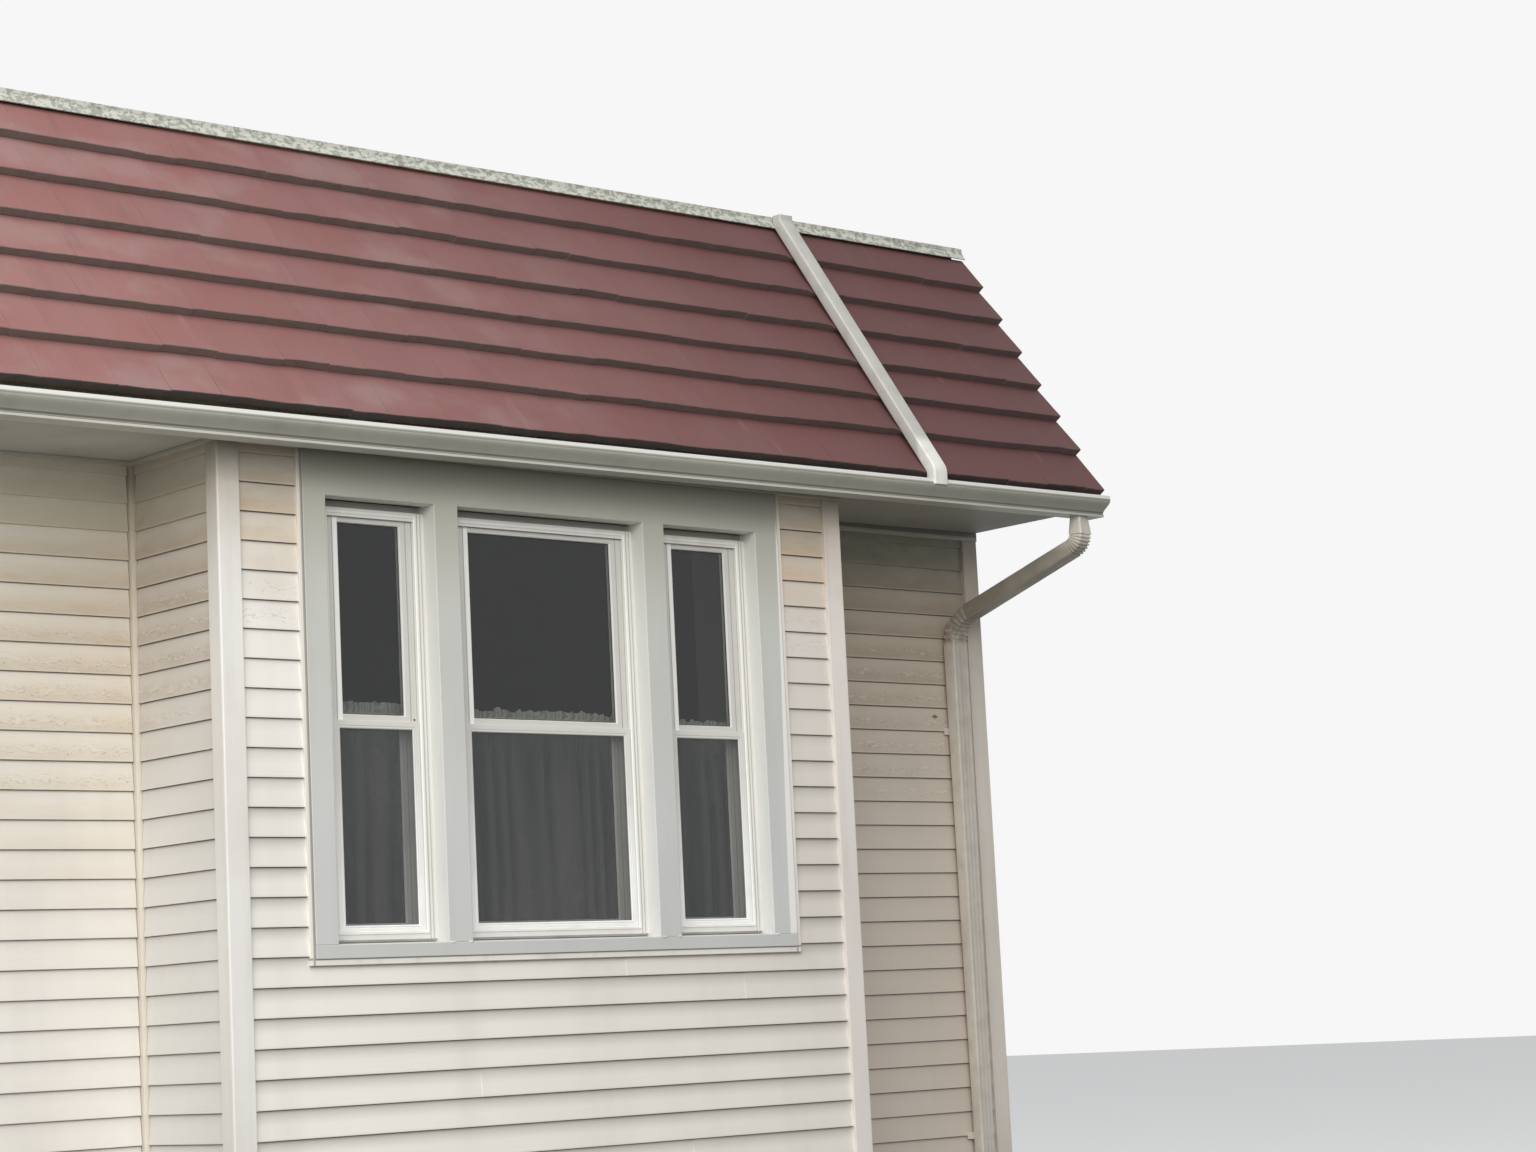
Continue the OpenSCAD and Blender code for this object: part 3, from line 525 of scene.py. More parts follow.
put_out(Rise=rise,
        Seam=fade(rise, 0.955, 0.992),
        Lower=fade(plus(rise, times(wander, 0.5)), 0.95, 0.0),
        Peel=times(line, flakes),
        Flecks=times(fade(apart(from_tide, 0.06), 0.09, 0.0), bright),
        Underside=fade(facing()[2], -0.3, -0.8))


# The dried mud of a wasps' nest on the right part of the house wall
NEST_X = 2.510
NEST_Z = 2.412


def siding_finish(name, clean, shaded_right, film, top, foot, shelter, cracked, sheltered, seam, tide=0.30, ragged=0.5,
                  under_lap=0.10, towards_edge=0.0):
    """Vinyl with an embossed grain. Its colour is clean at the left and shaded_right at the right,
    darker there as painted shade; film is the colour of the tan film between the heights top and
    foot, shelter the grey film and painted shade right under the eave, cracked the two heights
    between which the film has peeled, sheltered the height over which the eave keeps the seams in
    an even shade, and seam the strength of the painted shadow lines under the boards. Each board
    has a painted soft shade under_lap on its clean part and a darker film with painted shade
    towards_edge, towards its lower edge."""
    made = new_material(name)
    spot, x, _, z = place()
    worn = grouped(film_and_eave_shade, Top=top, Foot=foot, Ragged=ragged)
    grey = grouped(film_and_eave_shade, Top=3.14, Foot=2.86, Ragged=0.12)
    shade = grouped(course_shading, Tide=tide)
    zone = times(fade(z, cracked[0], cracked[0] + 0.12), fade(z, cracked[1], cracked[1] - 0.12))
    peel = times(shade["Peel"], zone)
    open_air = fade(z, sheltered + 0.14, sheltered - 0.10, 1.0, 0.08)
    streaks = fade(cloud(spot, 20.0, 8.0, (0.35, 0.35, 5.0), 0.4), 0.45, 0.75, 0.07)
    dots = fade(cloud(spot, 75.0, 2.0), 0.74, 0.78, 0.35)
    from_nest = plus(times(apart(x, NEST_X), 0.5), apart(z, NEST_Z), times(cloud(spot, 90.0, 3.0), 0.006))
    body = layers(
        # Darker towards the right: painted shade, where the light falls off across the wall
        mix(times(fade(x, -1.2, 1.2), fade(z, 0.9, 1.8, 1.0, 0.3)), clean, shaded_right),
        (fade(cloud(spot, 1.4, 5.0), 0.35, 0.75, 0.10), "a59c88"),
        (times(worn, fade(shade["Lower"], 0.0, 1.0, 1.0, 0.55)), film),
        # Darker towards each board's lower edge: film and painted shade
        (times(fade(shade["Rise"], 0.92, 0.08, towards_edge), worn), "7d6b54"),
        # Painted soft shade under each lap
        (times(fade(shade["Rise"], 0.42, 1.0, under_lap), fade(z, 2.6, 1.7)), "8a857c"),
        # Grey film and painted shade right under the eave
        (times(grey, 0.85), shelter),
        (times(peel, 0.5), "8a7c66"),
        # Painted highlight along each rolled edge, fading out under the eave
        (times(fade(shade["Rise"], 0.085, 0.04, 0.16), open_air), "f7f1e8"),
        (times(shade["Flecks"], zone, 0.5), "efe7d9"),
        (times(streaks, worn), "8f7f66"),
        (grouped(rain_marks, Width=5.0, Amount=0.08), "9a917f"),
        (times(dots, worn), "6f6350"),
        # Dark line under each board: painted shadow with some dirt
        (times(shade["Seam"], seam, open_air), "4f3321"),
        # Rolled edges seen from below painted dark: painted shade
        (times(shade["Underside"], 0.95, open_air), "3a2615"),
        (fade(from_nest, 0.016, 0.010, 0.8), "4a4338"))
    grain = cloud(spot, 60.0, 6.0, (0.10, 0.10, 2.2), 0.6)
    rough = fade(cloud(spot, 9.0, 4.0), 0.3, 0.7, 0.64, 0.50)
    surface(body, rough, minus(grain, times(peel, 0.8)), 0.0008, 0.6)
    return made


front_vinyl = siding_finish(
    "siding vinyl front", "f7f4ed", "e3ddd5", "d3ba9c", 3.02, 2.58, "a9a294", (2.50, 2.78), 3.12, 0.68,
    tide=0.45, ragged=0.3, under_lap=0.42)
side_vinyl = siding_finish(
    "siding vinyl sides", "e0ded9", "dbd6cd", "cab9a6", 2.95, 1.75, "b6b3a3", (2.20, 2.80), 2.90, 0.55,
    towards_edge=0.20)
house_vinyl = siding_finish(
    "siding vinyl house", "ece8e1", "ece8e1", "efe1ca", 2.72, 1.25, "d0cdbc", (1.95, 2.66), 2.88, 0.55,
    towards_edge=0.32)
# A darker copy for the house wall right of the bay: painted shade where the bay shades it
shaded_vinyl = siding_finish(
    "siding vinyl shaded", "d8ccbf", "d8ccbf", "c9b8a1", 3.0, 1.9, "898c80", (2.00, 2.80), 2.98, 0.60,
    towards_edge=0.40)

low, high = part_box("front_siding")
j_low, j_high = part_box("j_channel")
window_gap = (j_low.x - low.x, j_high.x - low.x, j_low.z)
laps = {k: x - low.x for k, x in APRON_LAPS.items()}
siding_foot, siding_top = low.z, high.z
front_shells = wall_of_clapboards(Vector((low.x, high.y, 0)), ALONG, OUTWARD, high.x - low.x,
                                  siding_foot, siding_top, window_gap, laps)
front_boards = build("clapboards_front", front_shells, [front_vinyl])
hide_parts("front_siding")

low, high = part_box("return_siding")
high.y += POCKET
side_shells = []
for side in (-1, 1):
    wall_end = Vector((side * (high.x - BUTT), low.y, 0))
    side_shells += wall_of_clapboards(wall_end, Vector((0, 1, 0)), Vector((side, 0, 0)), high.y - low.y,
                                      siding_foot, siding_top)
side_boards = build("clapboards_returns", side_shells, [side_vinyl])
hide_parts("return_siding")

low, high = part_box("main_siding")
corner_low, corner_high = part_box("inside_corners")
corner_low.x += POCKET
corner_high.x -= POCKET
house_shells = []
for number, x0, x1 in ((0, low.x, corner_low.x), (1, corner_high.x, high.x)):
    shells = wall_of_clapboards(Vector((x0, high.y, 0)), ALONG, OUTWARD, x1 - x0, siding_foot, siding_top)
    house_shells += [(points, faces, [number] * len(faces)) for points, faces in shells]
house_boards = build("clapboards_house", house_shells, [house_vinyl, shaded_vinyl])
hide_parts("main_siding")


# Corner posts and channels
# Extruded vinyl: wide outside posts at the bay's and the house's corners, narrow inside
# posts, a channel round the window group and one along the top of every wall.
INSIDE_BODY = 0.027
INSIDE_NOSE = 0.004
INSIDE_STEPS = 28


def trim_finish(name, clean, film, foot, strength, rim=None, lip=None):
    """Smooth vinyl trim with the tan film of the wall beside it, dust and rain marks, and painted shade
    on its left-facing sides and just under the eave. A rim is the half width and the foot of the
    window trim that a channel runs round, where painted shadow lines run beside the casings, under
    the sill and along the channel's foot; a lip is the height at which a channel's lower edge, painted
    lighter as painted light, ends and its painted shade above begins."""
    made = new_material(name)
    spot, x, _, z = place()
    body = layers(
        mix(grouped(dust, Scale=3.0, Amount=0.30), clean, mix(0.35, clean, "9a917f")),
        (times(grouped(film_and_eave_shade, Top=3.2, Foot=foot, Ragged=0.7), strength), film),
        (grouped(rain_marks, Width=14.0, Amount=0.14), "8f8775"),
        (fade(x, 0.5, 1.5, 0.13), "d8ae9a"),
        # Left-facing sides painted darker: painted shade
        (fade(facing()[0], -0.5, -0.9, 0.14), "8f8b80"),
        # Darker just under the eave: painted shade
        (fade(z, 3.02, 3.16, 0.5), "6f6c61"))
    if lip:
        # Painted shade above the lip, and a lighter band below it, painted light on the channel's lower edge
        body = mix(fade(z, lip, lip + 0.003, 0.7), body, "4f4d45")
        body = mix(fade(z, lip - 0.003, lip - 0.006, 0.4), body, "d9d5ca")
    if rim:
        half, low = rim
        # Painted shadow lines in the pocket beside the casings, under the sill and at the channel's foot
        beside = fade(apart(calc("ABSOLUTE", x), half), 0.005, 0.003)
        foot_line = fade(z, low - 0.020, low - 0.023)
        below = times(fade(z, low - 0.006, low - 0.003), fade(z, low + 0.004, low + 0.002))
        body = mix(times(larger(beside, below, foot_line), 0.6), body, "5a5344")
    rough = fade(cloud(spot, 6.0), 0.3, 0.7, 0.5, 0.35)
    surface(body, rough, cloud(spot, 2.2, 2.0, (1.0, 1.0, 0.5)), 0.004, 0.5)
    return made


post_vinyl = trim_finish("post vinyl", "f3f1ec", "cbbfab", 2.7, 0.75)
cream_vinyl = trim_finish("cream vinyl", "e2dacb", "c4b397", 2.2, 0.6)
window_rim = (j_high.x - 0.020, j_low.z + 0.024)
edge_vinyl = trim_finish("channel edge vinyl", "f5f1ea", "d6cab4", 2.3, 0.35, rim=window_rim)
dull_vinyl = trim_finish("dull vinyl", "e8e4dc", "c6bdaa", 2.2, 0.7)
channel_vinyl = trim_finish("channel vinyl", "e4e4e0", "b5b3a8", 2.9, 0.5, lip=3.210)
dress(post_vinyl, "bay_corner_posts", soften=0.0025)
dress(edge_vinyl, "j_channel", soften=0.002)
dress(dull_vinyl, "house_corner_post", soften=0.0025)
dress(channel_vinyl, "wall_top_channel", soften=0.002)

low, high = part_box("inside_corners")
inside_shells = []
for side in (-1, 1):
    x_wall = side * (high.x - (high.y - low.y))
    outline = [(0, 0), (INSIDE_BODY, 0), (INSIDE_BODY, INSIDE_BODY - INSIDE_NOSE),
               (INSIDE_BODY - 0.0012, INSIDE_BODY - 0.0012), (INSIDE_BODY - INSIDE_NOSE, INSIDE_BODY),
               (0, INSIDE_BODY)]
    rings = []
    for i in range(INSIDE_STEPS + 1):
        level_at = low.z + (high.z - low.z) * i / INSIDE_STEPS
        sway = 0.0012 * noise((level_at * 1.1, side, 4.0))
        rings.append([(x_wall + side * (a + sway), high.y - b - sway, level_at) for a, b in outline])
    inside_shells.append(skin(rings))
inside_posts = build("inside_posts", inside_shells, [cream_vinyl], 35.0)
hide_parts("inside_corners")


# Window trim outside
# Painted aluminium coil bent over the old wooden frame: one face over head, casings and
# mullions with its reveals, and the sill, which wave a little and are sealed with caulk.
ARRIS = 0.003
PLATE_OVER = 0.027
LINER = 0.006
SILL_TOP = 1.470

coil = new_material("coil aluminium")
spot, x, _, z = place()
nx, ny, nz = facing()
# Faces that look left or down, the reveals and undersides, are painted lighter: painted light in their shade
sheltered = larger(fade(nx, -0.5, -0.9, 0.5), fade(nz, -0.5, -0.9, 0.7))
# The end faces at the outer ends of the trim are painted dark: painted shade
end_edge = times(fade(calc("ABSOLUTE", nx), 0.6, 0.9), fade(calc("ABSOLUTE", x), 1.10, 1.107))
past_reveal = fade(minus(x, fade(z, 1.48, 3.05, 1.101, 1.075)), 0.0, 0.003)
strip = times(past_reveal, fade(z, SILL_TOP, SILL_TOP + 0.003))
body = layers(
    mix(cloud(spot, 1.8, 3.0), "cacbc5", "d4d5d0"),
    # Lighter low down and darker up towards the eave: painted shade of the eave, with a tan film high up
    (fade(z, 2.4, 1.9), "d5d6d4"),
    (fade(z, 2.6, 3.05, 0.48), "a09a82"),
    # Painted shade under the gutter
    (fade(plus(z, times(cloud(spot, 2.0), 0.06)), 3.04, 3.17, 0.70), "77756a"),
    (grouped(rain_marks, Width=11.0, Amount=0.08), "8e9089"),
    # Faces that look right are painted darker: painted shade
    (fade(nx, 0.5, 0.9, 0.15), "8f8d82"),
    # Painted light on reveals and undersides
    (sheltered, "f4f4f0"),
    # Painted shade on the end faces
    (times(end_edge, 0.6), "5f5d50"),
    (times(strip, fade(z, 3.12, 2.95, 0.9)), "fbfaf6"),
    (fade(z, SILL_TOP + 0.003, SILL_TOP, 0.3), "c4c5c2"),
    (times(fade(nz, 0.5, 0.9), grouped(dust, Scale=9.0, Amount=0.8)), "7f7a6c"))
surface(body, 0.5, cloud(spot, 3.2, 2.0, (1.0, 1.0, 0.6)), 0.010, 0.35)
dress(coil, "window_sill", soften=ARRIS)


def pierced_plate(columns, rows, holes, front, back):
    """A plate in x and z with holes, given as the numbers of the column and row that each takes."""
    wide, points, faces = len(columns), [], []
    for depth in (front, back):
        points += [(x, depth, z) for z in rows for x in columns]
    half_way = len(points) // 2
    solid = {(c, r) for r in range(len(rows) - 1) for c in range(wide - 1) if (c, r) not in holes}
    for c, r in sorted(solid):
        a = r * wide + c
        faces.append((a, a + 1, a + 1 + wide, a + wide))
        faces.append(tuple(half_way + i for i in (a + wide, a + 1 + wide, a + 1, a)))
        for dc, dr, i, j in ((-1, 0, a + wide, a), (1, 0, a + 1, a + 1 + wide), (0, -1, a, a + 1),
                             (0, 1, a + 1 + wide, a + wide)):
            if (c + dc, r + dr) not in solid:
                faces.append((i, j, half_way + j, half_way + i))
    used = sorted({i for face in faces for i in face})
    number = {i: n for n, i in enumerate(used)}
    return [points[i] for i in used], [tuple(number[i] for i in face) for face in faces]


head_low, head_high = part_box("window_head_casing")
casing_low, casing_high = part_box("window_casings")
WINDOWS = ("left", "middle", "right")
openings = []
for side in WINDOWS:
    low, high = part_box(side + "_window_frame")
    openings.append((low.x + LINER, high.x - LINER))
columns = [head_low.x] + [x for opening in openings for x in opening] + [head_high.x]
plate = pierced_plate(columns, [casing_low.z, head_low.z, head_high.z], {(1, 0), (3, 0), (5, 0)},
                      casing_low.y, casing_high.y + PLATE_OVER)
coil_face = build("coil_face", [plate], [coil])
round_edges(coil_face, ARRIS, 3).harden_normals = True
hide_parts("window_head_casing", "window_casings")


# Window frames
# Welded white vinyl frames of three double-hung replacement windows, set back behind the
# trim, with patches of pinkish grime high up and greenish grime lower down.
JAMB = 0.048
STILE = 0.050
FRAME_FOOT = 1.484
FILLER_FOOT = 3.006


def vinyl_finish(name, clean, shade, lines=(), painted_light_edge=0.0):
    """Vinyl with fine dark lines of painted shadow where its parts meet, given by their distances from
    both sides of each opening; painted_light_edge is the breadth of a strip along the left stiles'
    inner edge that is painted lighter, painted light where the left reveal shades them."""
    made = new_material(name)
    spot, x, _, z = place()
    _, ny, nz = facing()
    film = fade(cloud(spot, 8.0, 4.0, (1.0, 1.0, 0.25)), 0.45, 0.75, 0.25)
    body = layers(
        mix(cloud(spot, 2.0, 3.0), clean, shade),
        (times(film, fade(z, 2.2, 3.0)), "bfae9f"),
        (times(film, fade(z, 2.6, 1.6, 0.5)), "bcbcaa"),
        (times(fade(nz, 0.5, 0.9), grouped(dust, Scale=20.0, Amount=0.9)), "6f6a5c"),
        # Dark line at the frame's foot: painted shadow in the gap over the sill
        (fade(z, FRAME_FOOT, FRAME_FOOT - 0.003, 0.8), "4d4a3f"))
    for x0, x1 in openings if lines else ():
        # A strip along each left stile's inner edge painted lighter: painted light
        if painted_light_edge:
            from_edge = apart(x, x0 + JAMB + STILE - painted_light_edge / 2)
            body = mix(fade(from_edge, painted_light_edge / 2 + 0.001, painted_light_edge / 2 - 0.001), body, "fffefb")
        # Fine dark lines where the parts meet: painted shadow in the gaps
        for at in [x0 + d for d in lines] + [x1 - d for d in lines]:
            body = mix(fade(apart(x, at), 0.0035, 0.0015, 0.42), body, "6b6960")
    # The filler strip under the head painted darker: painted shade
    filler = times(fade(z, FILLER_FOOT, FILLER_FOOT + 0.003), fade(ny, -0.6, -0.9))
    body = mix(times(filler, 0.8), body, "928f84")
    surface(body, 0.38, cloud(spot, 30.0, 3.0), 0.0006, 0.4)
    return made


frame_vinyl = vinyl_finish("frame vinyl", "edece8", "e2e0da", (0.018, 0.032))
sash_vinyl = vinyl_finish("sash vinyl", "dad9d4", "d0cfc8", (JAMB + 0.001, JAMB + 0.028), 0.020)
bead_vinyl = vinyl_finish("bead vinyl", "faf9f5", "f0efe9")
dress(frame_vinyl, "left_window_frame", "middle_window_frame", "right_window_frame", soften=0.0015)
dress(sash_vinyl, "upper_sashes", "lower_sashes", soften=0.002)


# Glass
# Insulating glass in a dark vinyl gasket, held by a sloped bead round each pane. It is
# partly clear and partly a near-black sheet, painted darkness for the unlit room behind it.
BEAD = 0.003
BEAD_RISE = 0.0085
GASKET = 0.0022
PANE = 0.004
STOP = 0.011
STOP_RISE = 0.003

glass = new_material("glass")
spot = place()[0]
smear = fade(cloud(spot, 3.0, 5.0, (1.0, 1.0, 0.4)), 0.35, 0.75, 0.06, 0.01)
# A near-black, partly see-through surface: painted darkness for the unlit room
surface(mix(cloud(spot, 1.2, 2.0), "0b0e0e", "101514"), smear, IOR=1.85, Alpha=0.36)
dress(glass, "glass_panes")

rubber = new_material("gasket rubber")
spot = place()[0]
surface(mix(cloud(spot, 30.0), "1d1e1e", "33322f"), 0.7)


def mitred(x0, x1, z0, z1, profile):
    """A closed frame of four mitred sides; its profile's points are a distance inwards and a place in y."""
    corners = [(x0, z0, 1, 1), (x1, z0, -1, 1), (x1, z1, -1, -1), (x0, z1, 1, -1)]
    return skin([[(x + dx * inward, y, z + dz * inward) for inward, y in profile]
                 for x, z, dx, dz in corners], True)


panes_low, panes_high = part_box("glass_panes")
upper_low, upper_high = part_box("upper_sashes")
lower_low, lower_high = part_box("lower_sashes")
MEETING_TOP = lower_high.z
MEETING_FOOT = upper_low.z
UPPER_GLASS_TOP = upper_high.z - 0.016
LOWER_GLASS_FOOT = lower_low.z + 0.035

frame_low, frame_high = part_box("left_window_frame")
stop_y = frame_low.y
stop_profile = [(0.0, stop_y + 0.001), (0.0, stop_y - STOP_RISE + 0.001), (0.001, stop_y - STOP_RISE),
                (STOP - 0.003, stop_y - STOP_RISE), (STOP, stop_y - 0.0005), (STOP, stop_y + 0.001)]
stop_foot = frame_low.z + 0.034 - 0.003
stop_top = frame_high.z - 0.006 - JAMB + STOP
stop_shells = [mitred(x0 + JAMB - STOP, x1 - JAMB + STOP, stop_foot, stop_top, stop_profile)
               for x0, x1 in openings]
build("window_stops", stop_shells, [bead_vinyl])

bead_shells, gasket_shells = [], []
for x0, x1 in openings:
    for front, z0, z1 in ((panes_low.y, MEETING_TOP, UPPER_GLASS_TOP),
                          (panes_high.y - PANE, LOWER_GLASS_FOOT, MEETING_FOOT)):
        sight = (x0 + JAMB + STILE, x1 - JAMB - STILE, z0, z1)
        back = front + PANE
        bead_shells.append(mitred(*sight, [
            (0.0, front - BEAD_RISE), (0.0015, front - BEAD_RISE), (BEAD, front - 0.002), (BEAD, front),
            (0.0, front)]))
        gasket_shells.append(mitred(*sight, [
            (BEAD - 0.001, front - 0.0014), (BEAD + GASKET, front - 0.0008), (BEAD + GASKET, front),
            (BEAD - 0.001, front)]))
        gasket_shells.append(mitred(*sight, [
            (0.0, back + 0.002), (GASKET, back + 0.0008), (GASKET, back), (0.0, back)]))
build("glazing_beads", bead_shells, [bead_vinyl])
build("glazing_gaskets", gasket_shells, [rubber])


# Insect screens
# A roll-formed aluminium frame with a cord groove holds grey glass-fibre mesh over each
# lower sash. The mesh greys the curtain behind it.
SCREEN_FRAME = 0.029
MESH_PITCH = 0.0016
SPLINE_TUCK = 0.008
MESH_ROWS = 24

screen_paint = new_material("screen frame paint")
spot, _, _, z = place()
# Darker up by the meeting rail and lighter at the foot: painted shade and painted light
body = mix(fade(z, 1.6, 2.2), "fcfcfb", "dddcd7")
surface(mix(grouped(dust, Scale=12.0, Amount=0.2), body, "c9c7bd"), 0.45, cloud(spot, 40.0), 0.0004)

screen_mesh = new_material("screen mesh")
spot, x, _, z = place()
weave = larger(*[fade(apart(repeat(across, MESH_PITCH), 0.5), 0.26, 0.40) for across in (x, z)])
clogged = fade(cloud(spot, 5.0, 6.0, (1.0, 1.0, 0.5)), 0.35, 0.75, 0.10)
surface(mix(clogged, "55585a", "7a786f"), 0.75, Alpha=plus(times(weave, 0.30), 0.34, clogged))


def grid_faces(columns, rows, first=0):
    """The faces of a grid of points, from its row called first on."""
    corners = ((0, 0), (0, 1), (1, 1), (1, 0))
    return [tuple((r + dr) * (columns + 1) + c + dc for dr, dc in corners)
            for r in range(first, first + rows) for c in range(columns)]


screen_low, screen_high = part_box("insect_screens")
front, back = screen_low.y, screen_high.y
screen_profile = [
    (0.0, front + 0.0012), (0.0012, front), (0.018, front), (0.0188, front + 0.0018),
    (0.0222, front + 0.0018), (0.023, front), (SCREEN_FRAME - 0.003, front), (SCREEN_FRAME, front + 0.0025),
    (SCREEN_FRAME, back - 0.001), (SCREEN_FRAME - 0.001, back), (0.001, back), (0.0, back - 0.001)]
frame_shells = []
cloths = []
for number, (x0, x1) in enumerate(openings):
    left_edge, right_edge = x0 + JAMB + 0.001, x1 - JAMB - 0.001
    frame_shells.append(mitred(left_edge, right_edge, screen_low.z, screen_high.z, screen_profile))
    cloth_x = left_edge + SCREEN_FRAME - SPLINE_TUCK
    cloth_z = screen_low.z + SCREEN_FRAME - SPLINE_TUCK
    wide = right_edge - SCREEN_FRAME + SPLINE_TUCK - cloth_x
    tall = screen_high.z - SCREEN_FRAME + SPLINE_TUCK - cloth_z
    columns = max(8, round(wide / 0.03))
    grid = []
    for r in range(MESH_ROWS + 1):
        for c in range(columns + 1):
            u, v = c / columns, r / MESH_ROWS
            slack = sin(pi * u) * sin(pi * v)
            belly = 0.0012 * slack * noise((u * 3 + number, v * 4, 2.0))
            grid.append((cloth_x + u * wide, (front + back) / 2 + belly, cloth_z + v * tall))
    cloths.append(((wide, tall), (grid, grid_faces(columns, MESH_ROWS))))
screen_frames = build("screen_frames", frame_shells, [screen_paint])
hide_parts("insect_screens")
for side, (flat, shell) in zip(WINDOWS, cloths):
    cloth = build("screen_mesh_" + side, [shell], [screen_mesh])
    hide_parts("insect_screens")


# Trim and rods inside the room
# Painted wooden casings, stool and apron round the three windows, and a thin painted rod
# on two small brackets for each curtain.
room_paint = new_material("room paint")
spot = place()[0]
body = mix(cloud(spot, 2.5), "e6e1d4", "dcd6c6")
body = mix(grouped(dust, Scale=8.0, Amount=0.35), body, "b9b09c")
surface(body, 0.4, cloud(spot, 70.0, 4.0, (0.3, 1.0, 1.0)), 0.0006)
dress(room_paint, "interior_trim", soften=0.003)

rod_paint = new_material("rod paint")
spot = place()[0]
surface(mix(grouped(dust, Scale=30.0, Amount=0.6), "d8d2c2", "a89e88"), 0.35, Metallic=0.4)
dress(rod_paint, "curtain_rods")


# Curtains
# Thin white cotton cafe curtains, one to a window, gathered on the rod through a sewn
# pocket, with a ruffle that stands above the meeting rail and shows in the upper pane.
GATHER = 1.5
HEMS = 0.06
RUFFLE_FOOT = 2.284
CURTAIN_OVER = 0.020
CLOTH_STEP = 0.005
DROP_ROWS = 26
RUFFLE_ROWS = 5
POCKET_HALF = 0.009
FOLD_PITCH = 0.090
TUCK_PITCH = 0.021
# How far each curtain's ruffle stands above the rod, from left to right
RUFFLE_RISES = (0.051, 0.040, 0.024)

rods_low, rods_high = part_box("curtain_rods")
cloth_low, cloth_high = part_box("curtains")
rod_y = (cloth_low.y + cloth_high.y) / 2
rod_z = (rods_low.z + rods_high.z) / 2

cotton = new_material("curtain cotton")
spot, _, y, z = place()
thread = plus(cloud(spot, 900.0, 1.0, (1.0, 1.0, 0.15)), cloud(spot, 900.0, 1.0, (0.15, 0.15, 1.0)))
in_ruffle = fade(z, RUFFLE_FOOT, RUFFLE_FOOT + 0.010)
body = layers(
    # An off-white dimmed as painted shade of the unlit room
    mix(cloud(spot, 6.0, 5.0), "d6d3c4", "cbc8b8"),
    # The ruffle in the clear upper pane is painted lighter: painted light
    (in_ruffle, "dee4da"),
    # Hollows of the folds, further back, painted darker: painted shade
    (times(fade(y, -0.3935, -0.378, 0.85), fade(z, 2.290, 2.280, 1.0, 0.3)), "565950"),
    # Hollows of the ruffle's tucks painted darker: painted shade
    (times(fade(y, rod_y - 0.009, rod_y - 0.001, 0.45), in_ruffle), "6f7268"))
surface(body, 0.9, thread, 0.0004, 0.5, **{"Sheen Weight": 0.3})


def tucks_at(s, number):
    """How many tucks a curtain has from its left edge to s."""
    return s / TUCK_PITCH + 2.6 * noise((s * 14.0, number * 5.0, 4.0))


def drop_depth(s, h, number, tucks):
    """The place in y of a curtain's hanging part, whose small tucks open into wide folds downwards."""
    drift = 0.80 * noise((s * 6.5, number * 3.0, 1.0)) + 0.14 * noise((s * 5.0, h * 1.5, number))
    folds = s / FOLD_PITCH + 1.5 * drift
    near_rod = max(0.0, min(1.0, (h - (rod_z - 0.16)) / 0.14))
    wave = (1 - near_rod) * sin(tau * folds) + near_rod * sin(tau * tucks) * 0.7
    flare = 0.0085 + 0.0020 * (1 - (h - cloth_low.z) / (rod_z - cloth_low.z))
    crease = 0.0016 * sin(tau * (s / 0.022 + 2.4 * noise((s * 13.0, h * 0.8, number))))
    fullness = 0.80 + noise((s * 9.0, 3.0, number))
    return rod_y + flare * wave * fullness + crease - 0.003 * near_rod


for number, ((x0, x1), side, rise) in enumerate(zip(openings, WINDOWS, RUFFLE_RISES)):
    left, width = x0 - CURTAIN_OVER, x1 - x0 + 2 * CURTAIN_OVER
    columns = ceil(width / CLOTH_STEP)
    drop = rod_z - 2 * POCKET_HALF - cloth_low.z
    levels = [(cloth_low.z + drop * i / DROP_ROWS, "drop") for i in range(DROP_ROWS + 1)]
    levels += [(rod_z + h, "pocket") for h in (-POCKET_HALF, 0, POCKET_HALF)]
    levels += [(rod_z + POCKET_HALF + (rise - POCKET_HALF) * i / RUFFLE_ROWS, "ruffle")
               for i in range(1, RUFFLE_ROWS + 1)]
    grid = []
    for h, part in levels:
        for c in range(columns + 1):
            s = c / columns * width
            tucks = tucks_at(s, number)
            z_at = h
            if part == "drop":
                y_at = drop_depth(s, h, number, tucks)
            elif part == "pocket":
                y_at = rod_y - 0.0085 - 0.0016 * (sin(tau * tucks) + 1)
            else:
                share = (h - rod_z - POCKET_HALF) / (rise - POCKET_HALF)
                wave = sin(tau * tucks + 0.8 * sin(9 * share))
                y_at = rod_y - 0.006 + (0.004 + 0.003 * share) * wave
                droop = noise((s * 14.0, number * 2.0, 8.0)) + 0.7 * noise((s * 40.0, number, 5.0))
                z_at += 0.0165 * droop * share
            grid.append((left + s + 0.0015 * sin(tau * tucks * 0.5), y_at, z_at))
    # The pocket's back layer, behind the rod
    for rise_at, bulge in ((-0.0105, 0.0035), (-0.006, 0.0085), (0.006, 0.0085), (0.0105, 0.0035)):
        for c in range(columns + 1):
            s = c / columns * width
            sway = 0.001 * sin(tau * tucks_at(s, number))
            grid.append((left + s, rod_y + bulge + sway, rod_z + rise_at))
    faces = grid_faces(columns, len(levels) - 1) + grid_faces(columns, 3, len(levels))
    curtain = build("curtain_" + side, [(grid, faces)], [cotton], 75.0)
    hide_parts("curtains")
    flat = (round(width * GATHER, 3), round(rod_z + rise - cloth_low.z + HEMS, 3))


